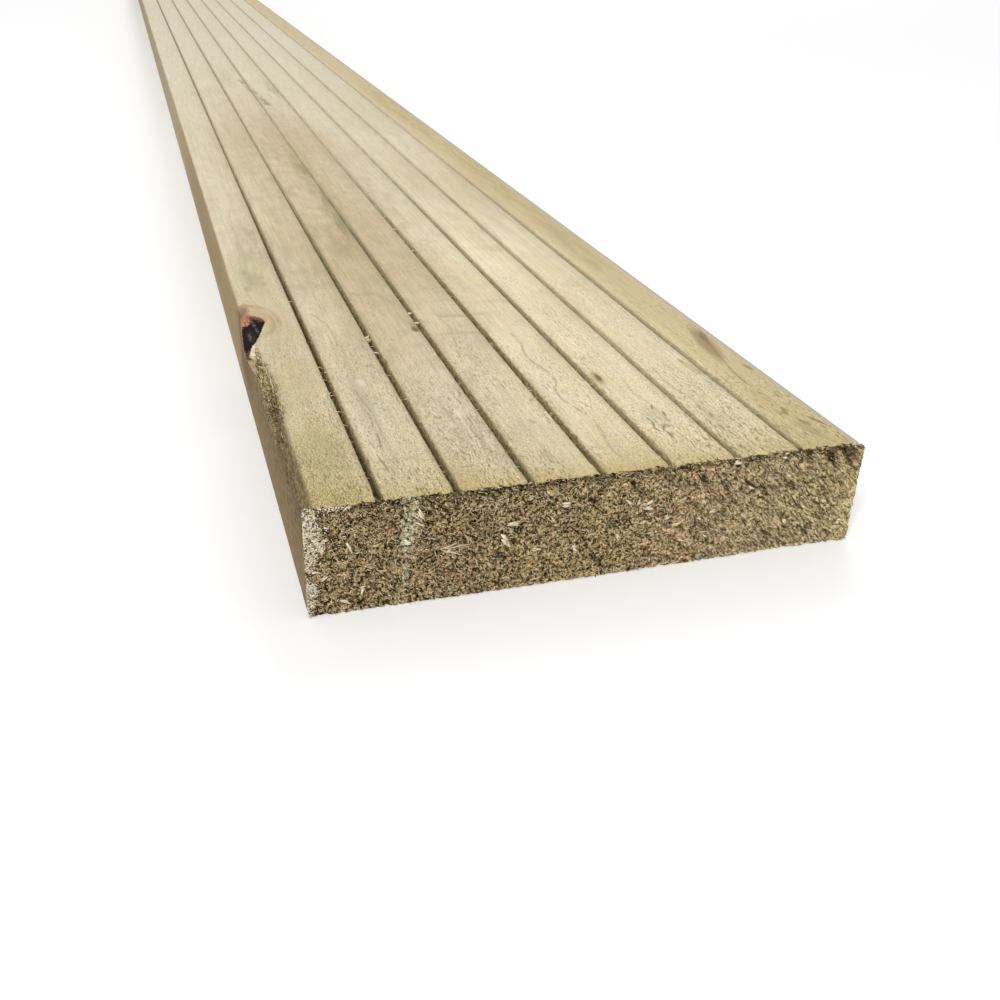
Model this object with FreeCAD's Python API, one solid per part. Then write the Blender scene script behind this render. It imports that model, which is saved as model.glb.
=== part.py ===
import FreeCAD, Part
import math
import os

# A grooved softwood decking board, lying flat with its grooves up.
# Millimetres. X runs along the board from the near sawn end to the far one,
# Y runs across it, Z runs up, and the origin is the centre of the underside.

# The planed blank
length = 1800.0
width = 120.0
thickness = 24.0
arris_radius = 2.0

# Grip grooves, worked along the top face at an even pitch
groove_pitch = 15.0
groove_width = 1.3
groove_depth = 3.5
groove_floor_radius = 0.5
groove_lip_radius = 0.45

# The pit left by a dead knot that has dropped out of the left arris. It opens
# to the top face and to the side. It has a round head, and a tail that narrows
# towards the near end and runs out of the side
knot_from_end = 105.0
knot_inset = 0.2
knot_drop = 3.2
knot_radius = 6.3
knot_tail = 36.0
knot_slant = 2.0

# The torn grain between the knot and the near end: a hollow along the arris
tear_length = 80.0
tear_deepest_from_end = 60.0
tear_radius = 6.0
tear_depth = 1.2
tear_depth_at_end = 0.25

near_end = -length / 2
left_edge = width / 2
groove_count = int(width // groove_pitch) - 1
x_axis = FreeCAD.Vector(1, 0, 0)


class Outline:
    """A closed outline in the Y-Z plane at the near end, drawn as a pen moves."""

    def __init__(self, y, z):
        self.pen = self.point(y, z)
        self.edges = []

    def point(self, y, z):
        return FreeCAD.Vector(near_end, y, z)

    def line(self, y, z):
        end = self.point(y, z)
        self.edges.append(Part.makeLine(self.pen, end))
        self.pen = end

    def quarter(self, y, z, centre_y, centre_z):
        """A quarter circle from the pen to (y, z) about the given centre."""
        end = self.point(y, z)
        centre = self.point(centre_y, centre_z)
        outward = (self.pen - centre) + (end - centre)
        middle = centre + outward.normalize() * (end - centre).Length
        self.edges.append(Part.Arc(self.pen, middle, end).toShape())
        self.pen = end

    def face(self):
        return Part.Face(Part.Wire(self.edges))


def draw_groove(outline, centre):
    """Carry the outline down and up through one groove, from +Y to -Y."""
    half = groove_width / 2
    lip = groove_lip_radius
    corner = groove_floor_radius
    floor = thickness - groove_depth
    outline.line(centre + half + lip, thickness)
    outline.quarter(centre + half, thickness - lip, centre + half + lip, thickness - lip)
    outline.line(centre + half, floor + corner)
    outline.quarter(centre + half - corner, floor, centre + half - corner, floor + corner)
    outline.line(centre - half + corner, floor)
    outline.quarter(centre - half, floor + corner, centre - half + corner, floor + corner)
    outline.line(centre - half, thickness - lip)
    outline.quarter(centre - half - lip, thickness, centre - half - lip, thickness - lip)


def board_section():
    """The milled section: flat underside, rounded arrises and the row of grooves."""
    edge = width / 2
    r = arris_radius
    outline = Outline(-edge + r, 0)
    outline.line(edge - r, 0)
    outline.quarter(edge, r, edge - r, r)
    outline.line(edge, thickness - r)
    outline.quarter(edge - r, thickness, edge - r, thickness - r)
    for i in range(groove_count):
        draw_groove(outline, ((groove_count - 1) / 2 - i) * groove_pitch)
    outline.line(-edge + r, thickness)
    outline.quarter(-edge, thickness - r, -edge + r, thickness - r)
    outline.line(-edge, r)
    outline.quarter(-edge + r, 0, -edge + r, r)
    return outline.face()


def turned(edges):
    """Turn a flat profile, drawn in X-Y with one side on the X axis, into a round body."""
    return Part.Face(Part.Wire(edges)).revolve(FreeCAD.Vector(0, 0, 0), x_axis, 360)


def knot_pit():
    """A drop shape: a ball for the head, and the cone that touches it for the tail."""
    r = knot_radius
    touch = math.acos(r / knot_tail)
    head = FreeCAD.Vector(r, 0, 0)
    crown = FreeCAD.Vector(0, r, 0)
    seam = FreeCAD.Vector(-r * math.cos(touch), r * math.sin(touch), 0)
    tip = FreeCAD.Vector(-knot_tail, 0, 0)
    body = turned([
        Part.Arc(head, crown, seam).toShape(),
        Part.makeLine(seam, tip),
        Part.makeLine(tip, head),
    ])
    body.rotate(FreeCAD.Vector(0, 0, 0), FreeCAD.Vector(0, 0, 1), -knot_slant)
    body.translate(FreeCAD.Vector(near_end + knot_from_end, left_edge - knot_inset, thickness - knot_drop))
    return body


def torn_arris():
    """A bar of changing radius, laid outside the rounded arris on its diagonal.

    Where its radius is tear_radius it only touches the arris, and what it has
    beyond that is the depth that it takes out."""
    stations = [
        (-tear_radius, tear_radius + tear_depth_at_end),
        (0, tear_radius + tear_depth_at_end),
        (tear_deepest_from_end, tear_radius + tear_depth),
        (tear_length, tear_radius),
    ]
    rim = [FreeCAD.Vector(x, r, 0) for x, r in stations]
    first = FreeCAD.Vector(stations[0][0], 0, 0)
    last = FreeCAD.Vector(stations[-1][0], 0, 0)
    bar = turned(Part.makePolygon([first] + rim + [last, first]).Edges)
    out = (arris_radius + tear_radius) * math.sqrt(0.5)
    bar.translate(FreeCAD.Vector(near_end, left_edge - arris_radius + out, thickness - arris_radius + out))
    return bar


def decking_board():
    blank = board_section().extrude(FreeCAD.Vector(length, 0, 0))
    return blank.cut(knot_pit()).cut(torn_arris())


os.makedirs("parts", exist_ok=True)
decking_board().exportStep("parts/decking_board.step")
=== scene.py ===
import bisect
import math

import bpy
import numpy as np
from mathutils import Matrix, Vector, geometry


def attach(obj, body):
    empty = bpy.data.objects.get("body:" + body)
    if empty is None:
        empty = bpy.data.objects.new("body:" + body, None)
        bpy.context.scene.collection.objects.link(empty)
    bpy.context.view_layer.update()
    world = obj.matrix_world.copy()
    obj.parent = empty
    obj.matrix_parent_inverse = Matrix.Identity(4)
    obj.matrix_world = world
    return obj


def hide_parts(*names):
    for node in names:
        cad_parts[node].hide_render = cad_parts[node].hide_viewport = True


# A grooved decking board of pressure-treated softwood, lying flat with its grooves up.
# Lengths below are in millimetres and become metres where a mesh or a node graph is made.
# "along" is the distance from the near sawn end, "right" runs across the board to the
# right as seen from that end, and z is the height over the floor.
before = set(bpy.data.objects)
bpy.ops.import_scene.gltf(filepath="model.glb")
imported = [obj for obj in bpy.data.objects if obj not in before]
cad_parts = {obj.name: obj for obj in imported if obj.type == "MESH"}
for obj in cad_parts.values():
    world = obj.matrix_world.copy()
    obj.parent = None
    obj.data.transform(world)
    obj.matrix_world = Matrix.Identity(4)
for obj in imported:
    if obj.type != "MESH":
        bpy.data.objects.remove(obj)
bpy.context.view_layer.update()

LENGTH = 1800.0
WIDTH = 120.0
THICKNESS = 24.0
ARRIS = 2.0
GROOVE_PITCH = 15.0
GROOVE_COUNT = 7
GROOVE_HALF = 0.65
GROOVE_DEPTH = 3.5
GROOVE_CORNER = 0.5
GROOVE_LIP = 0.45
EDGE = WIDTH / 2
FLOOR_OF_GROOVE = THICKNESS - GROOVE_DEPTH

# The knot pit is a ball with a pointed tail, and the torn arris is a lean hollow
KNOT = np.array([105.0, EDGE - 0.2, THICKNESS - 3.2])
KNOT_RADIUS = 6.3
KNOT_TIP = KNOT + 36.0 * np.array([-math.cos(math.radians(2)), math.sin(math.radians(2)), 0])
TEAR_STATIONS = (0.0, 60.0, 80.0)
TEAR_DEPTHS = (0.25, 1.2, 0.0)
TEAR_RADIUS = 6.0

# How far the torn grain frays into the top face, at places along the board
FRAY_STATIONS = (0, 5, 18, 31, 46, 61, 72, 84, 96)
FRAY_REACH = (0.4, 0.4, 0.8, 1.5, 2.6, 3.4, 2.2, 1.2, 0.8)


# Noise

noise_rng = np.random.default_rng(11)
PERMUTATION = noise_rng.permutation(256)
gradients = noise_rng.normal(size=(256, 3))
GRADIENTS = gradients / np.linalg.norm(gradients, axis=1)[:, None]


def noise(x, y, z=0.0):
    """Smooth gradient noise, about -0.7 to 0.7, one cell to a unit."""
    x, y, z = np.broadcast_arrays(*(np.asarray(c, float) for c in (x, y, z)))
    cells = [np.floor(c).astype(int) for c in (x, y, z)]
    parts = [c - i for c, i in zip((x, y, z), cells)]
    fades = [p * p * p * (p * (6 * p - 15) + 10) for p in parts]
    total = np.zeros(x.shape)
    for corner in range(8):
        bits = [corner >> k & 1 for k in range(3)]
        h = 0
        for i, b in zip(cells, bits):
            h = PERMUTATION[(h + i + b) & 255]
        g = GRADIENTS[h]
        dot = sum(g[..., k] * (parts[k] - bits[k]) for k in range(3))
        weight = 1.0
        for f, b in zip(fades, bits):
            weight = weight * (f if b else 1 - f)
        total += dot * weight
    return total


def fractal(x, y, z=0.0, octaves=3):
    total, scale, size = 0.0, 1.0, 1.0
    for _ in range(octaves):
        total = total + noise(x * scale, y * scale, np.asarray(z) * scale) * size
        scale, size = scale * 2.03, size * 0.5
    return total


def smooth(low, high, value):
    t = np.clip((np.asarray(value, float) - low) / (high - low), 0, 1)
    return t * t * (3 - 2 * t)


# The milled section as a lattice of steps round the outline

class Section:
    """The outline in y and z, walked anticlockwise, in root cells of 2**n fine steps."""

    def __init__(self):
        self.y, self.z, self.ny, self.nz, self.cells = [], [], [], [], []

    def add(self, count, fine, kind, place):
        """Root cells of one stretch: place(t) gives y, z and the outward normal."""
        for k in range(count):
            first = len(self.y)
            for f in range(fine):
                y, z, ny, nz = place((k + f / fine) / count)
                self.y.append(y)
                self.z.append(z)
                self.ny.append(ny)
                self.nz.append(nz)
            self.cells.append((first, first + fine, kind))

    def line(self, start, end, count, fine, kind):
        dy, dz = end[0] - start[0], end[1] - start[1]
        size = math.hypot(dy, dz)
        self.add(count, fine, kind, lambda t: (start[0] + dy * t, start[1] + dz * t, dz / size, -dy / size))

    def arc(self, centre, radius, start, turn, fine, kind, side=1):
        """A quarter of a circle from the angle start, turning by turn degrees."""
        def place(t):
            angle = math.radians(start + turn * t)
            c, s = math.cos(angle), math.sin(angle)
            return centre[0] + radius * c, centre[1] + radius * s, side * c, side * s
        self.add(1, fine, kind, place)

    def groove(self, centre):
        """From the left lip down the wall, over the floor and up to the right lip."""
        lip, corner, top = GROOVE_LIP, GROOVE_CORNER, THICKNESS - GROOVE_LIP
        low = FLOOR_OF_GROOVE + GROOVE_CORNER
        left, right = centre + GROOVE_HALF, centre - GROOVE_HALF
        self.arc((left + lip, top), lip, 90, 90, 2, "lip")
        self.line((left, top), (left, low), 1, 4, "wall")
        self.arc((left - corner, low), corner, 0, -90, 2, "floor", -1)
        self.line((left - corner, FLOOR_OF_GROOVE), (right + corner, FLOOR_OF_GROOVE), 1, 1, "floor")
        self.arc((right + corner, low), corner, -90, -90, 2, "floor", -1)
        self.line((right, low), (right, top), 1, 4, "wall")
        self.arc((right - lip, top), lip, 0, 90, 2, "lip")

    def close(self):
        for name in ("y", "z", "ny", "nz"):
            values = getattr(self, name)
            setattr(self, name, np.array(values + values[:1]))
        self.count = len(self.y) - 1

    def at(self, j):
        steps = np.arange(self.count + 1)
        return [np.interp(j, steps, values) for values in (self.y, self.z, self.ny, self.nz)]


def milled_section():
    s = Section()
    r, edge, top = ARRIS, EDGE, THICKNESS
    s.line((-edge + r, 0), (edge - r, 0), 12, 16, "under")
    s.arc((edge - r, r), r, -90, 90, 8, "arris")
    s.line((edge, r), (edge, top - r), 3, 16, "side")
    s.arc((edge - r, top - r), r, 0, 90, 8, "arris")
    centres = [((GROOVE_COUNT - 1) / 2 - i) * GROOVE_PITCH for i in range(GROOVE_COUNT)]
    start = edge - r
    for centre in centres:
        s.line((start, top), (centre + GROOVE_HALF + GROOVE_LIP, top), 2, 16, "rib")
        s.groove(centre)
        start = centre - GROOVE_HALF - GROOVE_LIP
    s.line((start, top), (-edge + r, top), 2, 16, "rib")
    s.arc((-edge + r, top - r), r, 90, 90, 8, "arris")
    s.line((-edge, top - r), (-edge, r), 3, 16, "side")
    s.arc((-edge + r, r), r, 180, 90, 8, "arris")
    s.close()
    return s


SECTION = milled_section()
STEPS = 5120
BLOCK = 64
STEP = LENGTH / STEPS


def wanted_size(a0, a1, j0, j1, kind):
    """How long and how wide a cell may be, from what it has to carry."""
    far = LENGTH - a1
    along = min(0.36 + 0.15 * max(0, a0 - 2), 0.75 + 0.4 * max(0, far - 0.8), 24)
    across = min(0.42 + 0.10 * max(0, a0 - 2), 0.9 + 0.3 * max(0, far - 0.8), 12)
    if kind == "under":
        along, across = max(along, 1.4), max(across, 0.7 if a0 < 900 else 1.4)
    if kind == "arris":
        across = min(across, 0.8)
    if kind in ("rib", "side", "arris"):
        ys, zs = (SECTION.y[j0], SECTION.y[j1]), (SECTION.z[j0], SECTION.z[j1])
        if max(ys) > 45 and max(zs) > 6:
            from_arris = math.hypot(EDGE - max(ys), THICKNESS - max(zs))
            off = max(0, 4 - a1, a0 - 112)
            size = 0.36 + 0.13 * max(0, from_arris - 8.5) + 0.12 * off
            along, across = min(along, size), min(across, size)
    if kind == "lip":
        along = min(along, 0.75 if a0 < 60 else 1.45 if a0 < 300 else 2.9 if a0 < 640 else 5.7)
    return along, across


def board_cells():
    """The skin's cells, each (i0, i1, j0, j1), halved until each is as small as wanted."""
    arc_length = np.concatenate([[0], np.cumsum(np.hypot(np.diff(SECTION.y), np.diff(SECTION.z)))])
    done = []
    stack = [(i, i + BLOCK, j0, j1, kind) for i in range(0, STEPS, BLOCK) for j0, j1, kind in SECTION.cells]
    while stack:
        i0, i1, j0, j1, kind = stack.pop()
        along, across = wanted_size(i0 * STEP, i1 * STEP, j0, j1, kind)
        if i1 - i0 > 1 and (i1 - i0) * STEP > along * 1.05:
            middle = (i0 + i1) // 2
            stack += [(i0, middle, j0, j1, kind), (middle, i1, j0, j1, kind)]
        elif j1 - j0 > 1 and arc_length[j1] - arc_length[j0] > across * 1.05:
            middle = (j0 + j1) // 2
            stack += [(i0, i1, j0, middle, kind), (i0, i1, middle, j1, kind)]
        else:
            done.append((i0, i1, j0, j1))
    return done


def board_skin():
    """Lattice places (i, j) of the skin's vertices, its faces, and the rings at both ends.

    A cell whose border carries corners of smaller neighbours becomes a fan about its
    middle, so the skin has no cracks."""
    cells = board_cells()
    rows, columns = {}, {}

    def mark(i, j):
        for k in ({0, SECTION.count} if j in (0, SECTION.count) else {j}):
            rows.setdefault(i, set()).add(k)
            columns.setdefault(k, set()).add(i)

    for i0, i1, j0, j1 in cells:
        for i in (i0, i1):
            for j in (j0, j1):
                mark(i, j)
    rows = {i: sorted(js) for i, js in rows.items()}
    columns = {j: sorted(ks) for j, ks in columns.items()}
    index, places, faces = {}, [], []

    def vertex(i, j):
        key = (i, j % SECTION.count)
        if key not in index:
            index[key] = len(places)
            places.append(key)
        return index[key]

    def rising(values, low, high):
        return values[bisect.bisect_left(values, low):bisect.bisect_left(values, high)]

    def falling(values, high, low):
        return values[bisect.bisect_right(values, low):bisect.bisect_right(values, high)][::-1]

    for i0, i1, j0, j1 in cells:
        ring = [(i0, j) for j in rising(rows[i0], j0, j1)]
        ring += [(i, j1) for i in rising(columns[j1], i0, i1)]
        ring += [(i1, j) for j in falling(rows[i1], j1, j0)]
        ring += [(i, j0) for i in falling(columns[j0], i1, i0)]
        corners = [vertex(i, j) for i, j in ring]
        if len(corners) == 4:
            faces.append(corners)
        else:
            centre = len(places)
            places.append(((i0 + i1) / 2, (j0 + j1) / 2))
            faces += [(corners[k - 1], corners[k], centre) for k in range(len(corners))]
    rings = [[index[i, j] for j in rows[i] if j < SECTION.count] for i in (0, STEPS)]
    return np.array(places, float), faces, rings


# Relief: how far the sawing, the knot and the torn grain take the wood back

# The whitish clump down the left edge of the near end: its width at heights over the floor
CLUMP_HEIGHTS = (0, 1.5, 3, 5, 8.3, 8.8, 9.8, 10.3, 12.4, 15, 19, 22, 24)
CLUMP_WIDTHS = (0.2, 0.5, 1.2, 1.9, 2.0, 0.2, 0.2, 2.2, 2.6, 3.9, 3.8, 3.6, 3.0)

# Torn hollows in the near end: right, z, half length down the cut, half width, amount
HOLLOWS = [
    (51.0, 23.0, 5.5, 1.4, 0.7), (56.5, 22.4, 4.5, 1.7, 0.9), (53.0, 20.6, 3.0, 0.9, 0.7), (58.0, 18.6, 3.0, 0.8, 0.7),
    (47.0, 22.6, 2.2, 1.0, 0.7), (22.3, 20.0, 2.6, 0.8, 0.8), (27.8, 17.4, 2.2, 0.7, 0.8), (34.0, 16.8, 2.4, 0.9, 0.8),
    (37.0, 15.4, 2.0, 0.7, 0.8), (43.2, 15.6, 2.4, 0.7, 0.8), (35.5, 11.8, 1.8, 0.6, 0.6), (49.0, 3.6, 1.8, 0.7, 0.8),
    (18.5, 22.8, 1.2, 0.9, 0.9), (52.0, 9.0, 1.8, 0.4, 0.6), (40.0, 4.0, 1.6, 0.5, 0.6), (46.0, 10.5, 2.2, 0.5, 0.6),
    (24.0, 8.0, 1.8, 0.5, 0.6), (30.5, 13.6, 2.0, 0.4, 0.6), (-35.0, 23.0, 2.6, 0.6, 0.6), (5.0, 23.0, 3.0, 0.9, 0.5),
    (-10.0, 22.6, 3.4, 0.8, 0.5), (-2.0, 18.0, 2.4, 0.9, 0.5), (8.0, 19.4, 2.6, 1.0, 0.5), (-0.6, 4.0, 2.6, 1.2, 0.5),
]


def clump(right, z):
    """1 in the whitish clump, 0 outside it."""
    width = np.interp(z, CLUMP_HEIGHTS, CLUMP_WIDTHS)
    ragged = noise(z / 2.2, right / 3.5, 4.2) * 1.6 + noise(z / 0.7, right / 0.8, 9.1) * 0.9
    return 1 - smooth(-1.1, 0.5, right + EDGE - width * (0.95 + 0.5 * ragged))


def hollows(right, z):
    """From 0 to 1 in the torn hollows, which run down the cut to the right."""
    total = np.zeros(np.shape(right))
    for at, height, half_length, half_width, amount in HOLLOWS:
        across, down = right - at, height - z
        u = (across * 0.67 + down * 0.74) / half_length
        v = (across * 0.74 - down * 0.67) / half_width
        total = total + amount * (1 - smooth(0.45, 1.25, np.hypot(u, v)))
    return np.clip(total * (0.75 + 0.9 * noise(right / 1.1, z / 0.9, 2.8)), 0, 1)


def near_end_relief(right, z):
    """Depth of the near end's sawn face under its plane. It gets coarser to the right."""
    down = THICKNESS - z
    across_cut = (right * 0.74 - down * 0.67) / 1.1
    along_cut = (right * 0.67 + down * 0.74) / 4.0
    coarse = smooth(0, 42, right)
    cut = noise(across_cut, along_cut, 3.1)
    furrows = (np.clip(1 - np.abs(cut) / 0.20, 0, 1) * 0.75 + np.abs(cut) * 0.5) * coarse
    pits = smooth(0.12, 0.42, noise(right / 1.1, z / 0.8, 7.7)) * (0.9 - 0.4 * coarse)
    small_pits = smooth(0.05, 0.4, noise(right / 0.7, z / 0.55, 17.7)) * 0.45
    fine = fractal(right / 0.8, z / 0.7, 1.3) * 0.25
    broad = noise(right / 17, z / 11, 5.2) * 0.3
    top_fringe = np.exp(-down / 0.8) * (0.35 + 0.7 * noise(right / 1.9, 2.2, down / 3))
    under_fringe = np.exp(-down / 3.0) * 0.35
    rough = 0.62 + furrows + pits + small_pits + fine + broad + top_fringe - under_fringe
    lumps = noise(right / 0.9, z / 0.8, 21.0) * 1.5
    rough = rough + 0.9 * hollows(right, z) + clump(right, z) * (lumps - 0.35)
    calm = 0.3 + 0.7 * smooth(0, 5, EDGE - right)
    return np.clip(0.3 + (rough - 0.3) * calm, 0.02, 2.6)


def far_end_relief(right, z):
    """The far end was cut by a finer saw: shallow arcs and a little fuzz."""
    arcs = np.sin((np.hypot(right + 150, z - 190) + noise(right / 9, z / 9) * 0.8) * 2.4) * 0.12
    pits = smooth(0.2, 0.5, noise(right / 1.3, z / 1.0, 9.4)) * 0.45
    return np.clip(0.35 + arcs + pits + fractal(right / 1.1, z / 0.9, 6.6) * 0.15, 0.02, 1.6)


def knot_distance(p):
    """Signed distance to the knot's ball and tail, negative inside."""
    axis = KNOT_TIP - KNOT
    size = np.linalg.norm(axis)
    offset = p - KNOT
    x = offset @ (axis / size)
    y = np.sqrt(np.maximum((offset ** 2).sum(-1) - x * x, 0))
    sine = KNOT_RADIUS / size
    cosine = math.sqrt(1 - sine * sine)
    k = x * cosine - y * sine
    on_ball = np.hypot(x, y) - KNOT_RADIUS
    on_tip = np.hypot(x - size, y)
    on_cone = x * sine + y * cosine - KNOT_RADIUS
    return np.where(k < 0, on_ball, np.where(k > size * cosine, on_tip, on_cone))


def tear_distance(p):
    """Signed distance to the torn hollow along the left arris, negative inside."""
    depth = np.interp(p[:, 0], TEAR_STATIONS, TEAR_DEPTHS)
    out = (ARRIS + TEAR_RADIUS) * math.sqrt(0.5)
    centre = np.array([EDGE - ARRIS + out, THICKNESS - ARRIS + out])
    return np.linalg.norm(p[:, 1:] - centre, axis=1) - TEAR_RADIUS - depth


INWARD = np.array([0, -math.sqrt(0.5), -math.sqrt(0.5)])


def carve(p, distance, rounds=40):
    """Push the points that lie inside a hollow diagonally into the wood, to its wall."""
    moved = np.zeros(len(p))
    inside = distance(p) < 0
    q = p[inside]
    pushed = np.zeros(len(q))
    for _ in range(rounds):
        d = distance(q + INWARD * pushed[:, None])
        pushed += np.where(d < 0, np.maximum(-d, 0.01), 0)
    moved[inside] = pushed
    return moved


def shaped(along, y, z, ny, nz):
    """Where the skin's points lie once planed, torn, knotted and sawn, and their masks."""
    right = -y
    p = np.stack([along, y, z], 1)
    char = carve(p, knot_distance)
    knot_off = np.maximum(knot_distance(p), 0)
    p = p + INWARD * char[:, None]
    facets = fractal(p[:, 0] / 3.4, p[:, 1] / 2.6, p[:, 2] / 2.6, octaves=2)
    p = p + INWARD * (smooth(0, 2.5, char) * (0.5 + 1.5 * facets))[:, None]

    torn = carve(p, tear_distance)
    p = p + INWARD * torn[:, None]
    reach = np.interp(along, FRAY_STATIONS, FRAY_REACH) * (1 + 0.5 * noise(along / 4.0, 3.3, 1.7))
    frayed = np.exp(-((EDGE - y) / (reach + 0.3)) ** 2 - ((THICKNESS - z) / 4.5) ** 2)
    frayed = frayed * np.interp(along, (2, 20, 84, 98), (0.35, 1, 1, 0)) * (char < 0.2)
    strands = fractal(along / 4.0, y / 0.7, z / 0.7)
    ragged = frayed * np.clip(0.45 + 1.1 * strands, 0, 1.3) * 0.95
    p = p + np.stack([0 * y, ny, nz], 1) * -ragged[:, None]

    lip = (np.abs(nz) < 0.95) & (z > THICKNESS - GROOVE_LIP - 0.05) & (np.abs(y) < EDGE - ARRIS - 1)
    bite = smooth(0.22, 0.5, noise(along / 3.2, y / 1.3, 4.4)) * 0.45
    bite = bite + np.clip(noise(along / 1.1, y / 1.3, 8.8), 0, 1) * 0.16
    bite = bite * (0.5 + 0.9 * np.exp(-along / 60))
    p = p + np.stack([0 * y, -ny * 0.8, -np.abs(nz) * 0.8], 1) * np.where(lip, bite, 0)[:, None]

    planed = (nz > 0.9) & (z > THICKNESS - 0.01)
    wave = 0.035 * (1 + noise(along / 14, right / 5, 2.0)) * smooth(0, 8, along)
    p[:, 2] -= np.where(planed, wave, 0)

    near = near_end_relief(right, z) * np.clip(1 - along / 5.0, 0, 1) ** 2
    far = far_end_relief(right, z) * np.clip(1 - (LENGTH - along) / 2.5, 0, 1) ** 2
    p[:, 0] += near - far
    edge_wear = np.clip(1 - along / 3.0, 0, 1) ** 2 * np.clip(0.35 + noise(right / 1.6, z / 1.6, 1.9), 0, 1) * 0.5
    p = p - np.stack([0 * y, ny, nz], 1) * edge_wear[:, None]
    masks = {
        "char": np.where(char > 0, 0.5 + 0.5 * smooth(0, 1.4, char), 0.5 * (1 - smooth(0, 1.1, knot_off))),
        "torn": np.clip(smooth(0.1, 0.55, frayed) * 0.9 + smooth(0.2, 0.9, torn + ragged) * 0.6, 0, 1),
        "cavity": np.clip(ragged * 0.9 + 0 * y, 0, 1),
        "hollow": 0 * y,
        "clump": 0 * y,
    }
    return p, masks


def triangulated_end(ring_yz, spacing, seed):
    """Triangles between the ring's own points and a jittered grid inside it."""
    rng = np.random.default_rng(seed)
    ys = np.arange(-EDGE + spacing, EDGE - spacing / 2, spacing)
    zs = np.arange(spacing, THICKNESS - spacing / 2, spacing)
    y, z = (c.ravel() for c in np.meshgrid(ys, zs))
    y = y + rng.uniform(-0.3, 0.3, y.shape) * spacing
    z = z + rng.uniform(-0.3, 0.3, z.shape) * spacing
    clear = spacing * 0.55
    offset = np.abs((y + GROOVE_PITCH / 2) % GROOVE_PITCH - GROOVE_PITCH / 2)
    in_groove = (offset < GROOVE_HALF + clear) & (z > FLOOR_OF_GROOVE - clear) & (np.abs(y) < 50)
    dy = np.maximum(np.abs(y) - (EDGE - ARRIS), 0)
    dz = np.maximum(np.abs(z - THICKNESS / 2) - (THICKNESS / 2 - ARRIS), 0)
    keep = ~in_groove & (np.hypot(dy, dz) < ARRIS - clear - 0.3)
    inner = np.stack([y[keep], z[keep]], 1)
    points = [Vector(p) for p in np.concatenate([ring_yz, inner])]
    flat, _, triangles, origins, _, _ = geometry.delaunay_2d_cdt(
        points, [], [list(range(len(ring_yz)))], 1, 1e-6)
    return flat, triangles, origins


def add_end(verts, faces, ring, relief, x_at, facing, spacing, seed):
    """Close one end of the board with a sawn face, and give back its new points."""
    flat, triangles, origins = triangulated_end(verts[ring][:, 1:], spacing, seed)
    names = {}
    inner = []
    for k, sources in enumerate(origins):
        own = [s for s in sources if s < len(ring)]
        if own:
            names[k] = ring[own[0]]
        else:
            names[k] = len(verts) + len(inner)
            inner.append((flat[k].x, flat[k].y))
    inner = np.array(inner)
    x = x_at(relief(-inner[:, 0], inner[:, 1]))
    new = np.stack([x, inner[:, 0], inner[:, 1]], 1)
    for tri in triangles:
        tri = [names[k] for k in tri]
        faces.append(tri[::-1] if facing < 0 else tri)
    return new


def make_mesh(name, verts_mm, faces, attributes=(), face_slots=None, smooth_shaded=True):
    """A mesh object from points given as (along, y, z) in millimetres."""
    mesh = bpy.data.meshes.new(name)
    co = np.array(verts_mm, float) * 0.001
    co[:, 0] -= LENGTH / 2000
    mesh.from_pydata(co.tolist(), [], [list(map(int, f)) for f in faces])
    for key, values in dict(attributes).items():
        mesh.attributes.new(key, "FLOAT", "POINT").data.foreach_set("value", np.asarray(values, "f"))
    if face_slots is not None:
        mesh.polygons.foreach_set("material_index", np.asarray(face_slots, int))
    mesh.polygons.foreach_set("use_smooth", [smooth_shaded] * len(mesh.polygons))
    mesh.update()
    obj = bpy.data.objects.new(name, mesh)
    bpy.context.scene.collection.objects.link(obj)
    return obj


def build_timber():
    places, faces, (near_ring, far_ring) = board_skin()
    y, z, ny, nz = SECTION.at(places[:, 1])
    verts, masks = shaped(places[:, 0] * STEP, y, z, ny, nz)
    skin_faces = len(faces)
    near = add_end(verts, faces, near_ring, near_end_relief, lambda d: d, -1, 0.32, 3)
    verts = np.concatenate([verts, near])
    near_faces = len(faces)
    far = add_end(verts, faces, far_ring, far_end_relief, lambda d: LENGTH - d, 1, 0.80, 4)
    verts = np.concatenate([verts, far])
    ends = len(near) + len(far)
    masks = {key: np.concatenate([v, np.zeros(ends)]) for key, v in masks.items()}
    depth = np.concatenate([near[:, 0], LENGTH - far[:, 0]])
    masks["cavity"][-ends:] = depth
    masks["hollow"][-ends:-len(far)] = hollows(-near[:, 1], near[:, 2])
    masks["clump"][-ends:-len(far)] = clump(-near[:, 1], near[:, 2])
    face_slots = np.zeros(len(faces), int)
    face_slots[skin_faces:] = 1
    obj = make_mesh("timber", verts, faces, masks, face_slots)
    obj.data.set_sharp_from_angle(angle=math.radians(52))
    print("timber triangles", sum(len(f) - 2 for f in faces), "skin", skin_faces, "near", near_faces - skin_faces)
    return obj


timber = build_timber()

# Camera: where the photograph was taken from

camera_data = bpy.data.cameras.new("camera")
camera_data.lens = 39.6
camera_data.sensor_width = 36
camera_data.clip_start = 0.005
camera = bpy.data.objects.new("camera", camera_data)
bpy.context.scene.collection.objects.link(camera)
camera.matrix_world = Matrix((
    (-0.29768, 0.46321, -0.83476, -1.07758),
    (-0.95420, -0.11692, 0.27539, 0.080416),
    (0.02996, 0.87850, 0.47679, 0.122744),
    (0, 0, 0, 1)))
bpy.context.scene.camera = camera


# Materials

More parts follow.
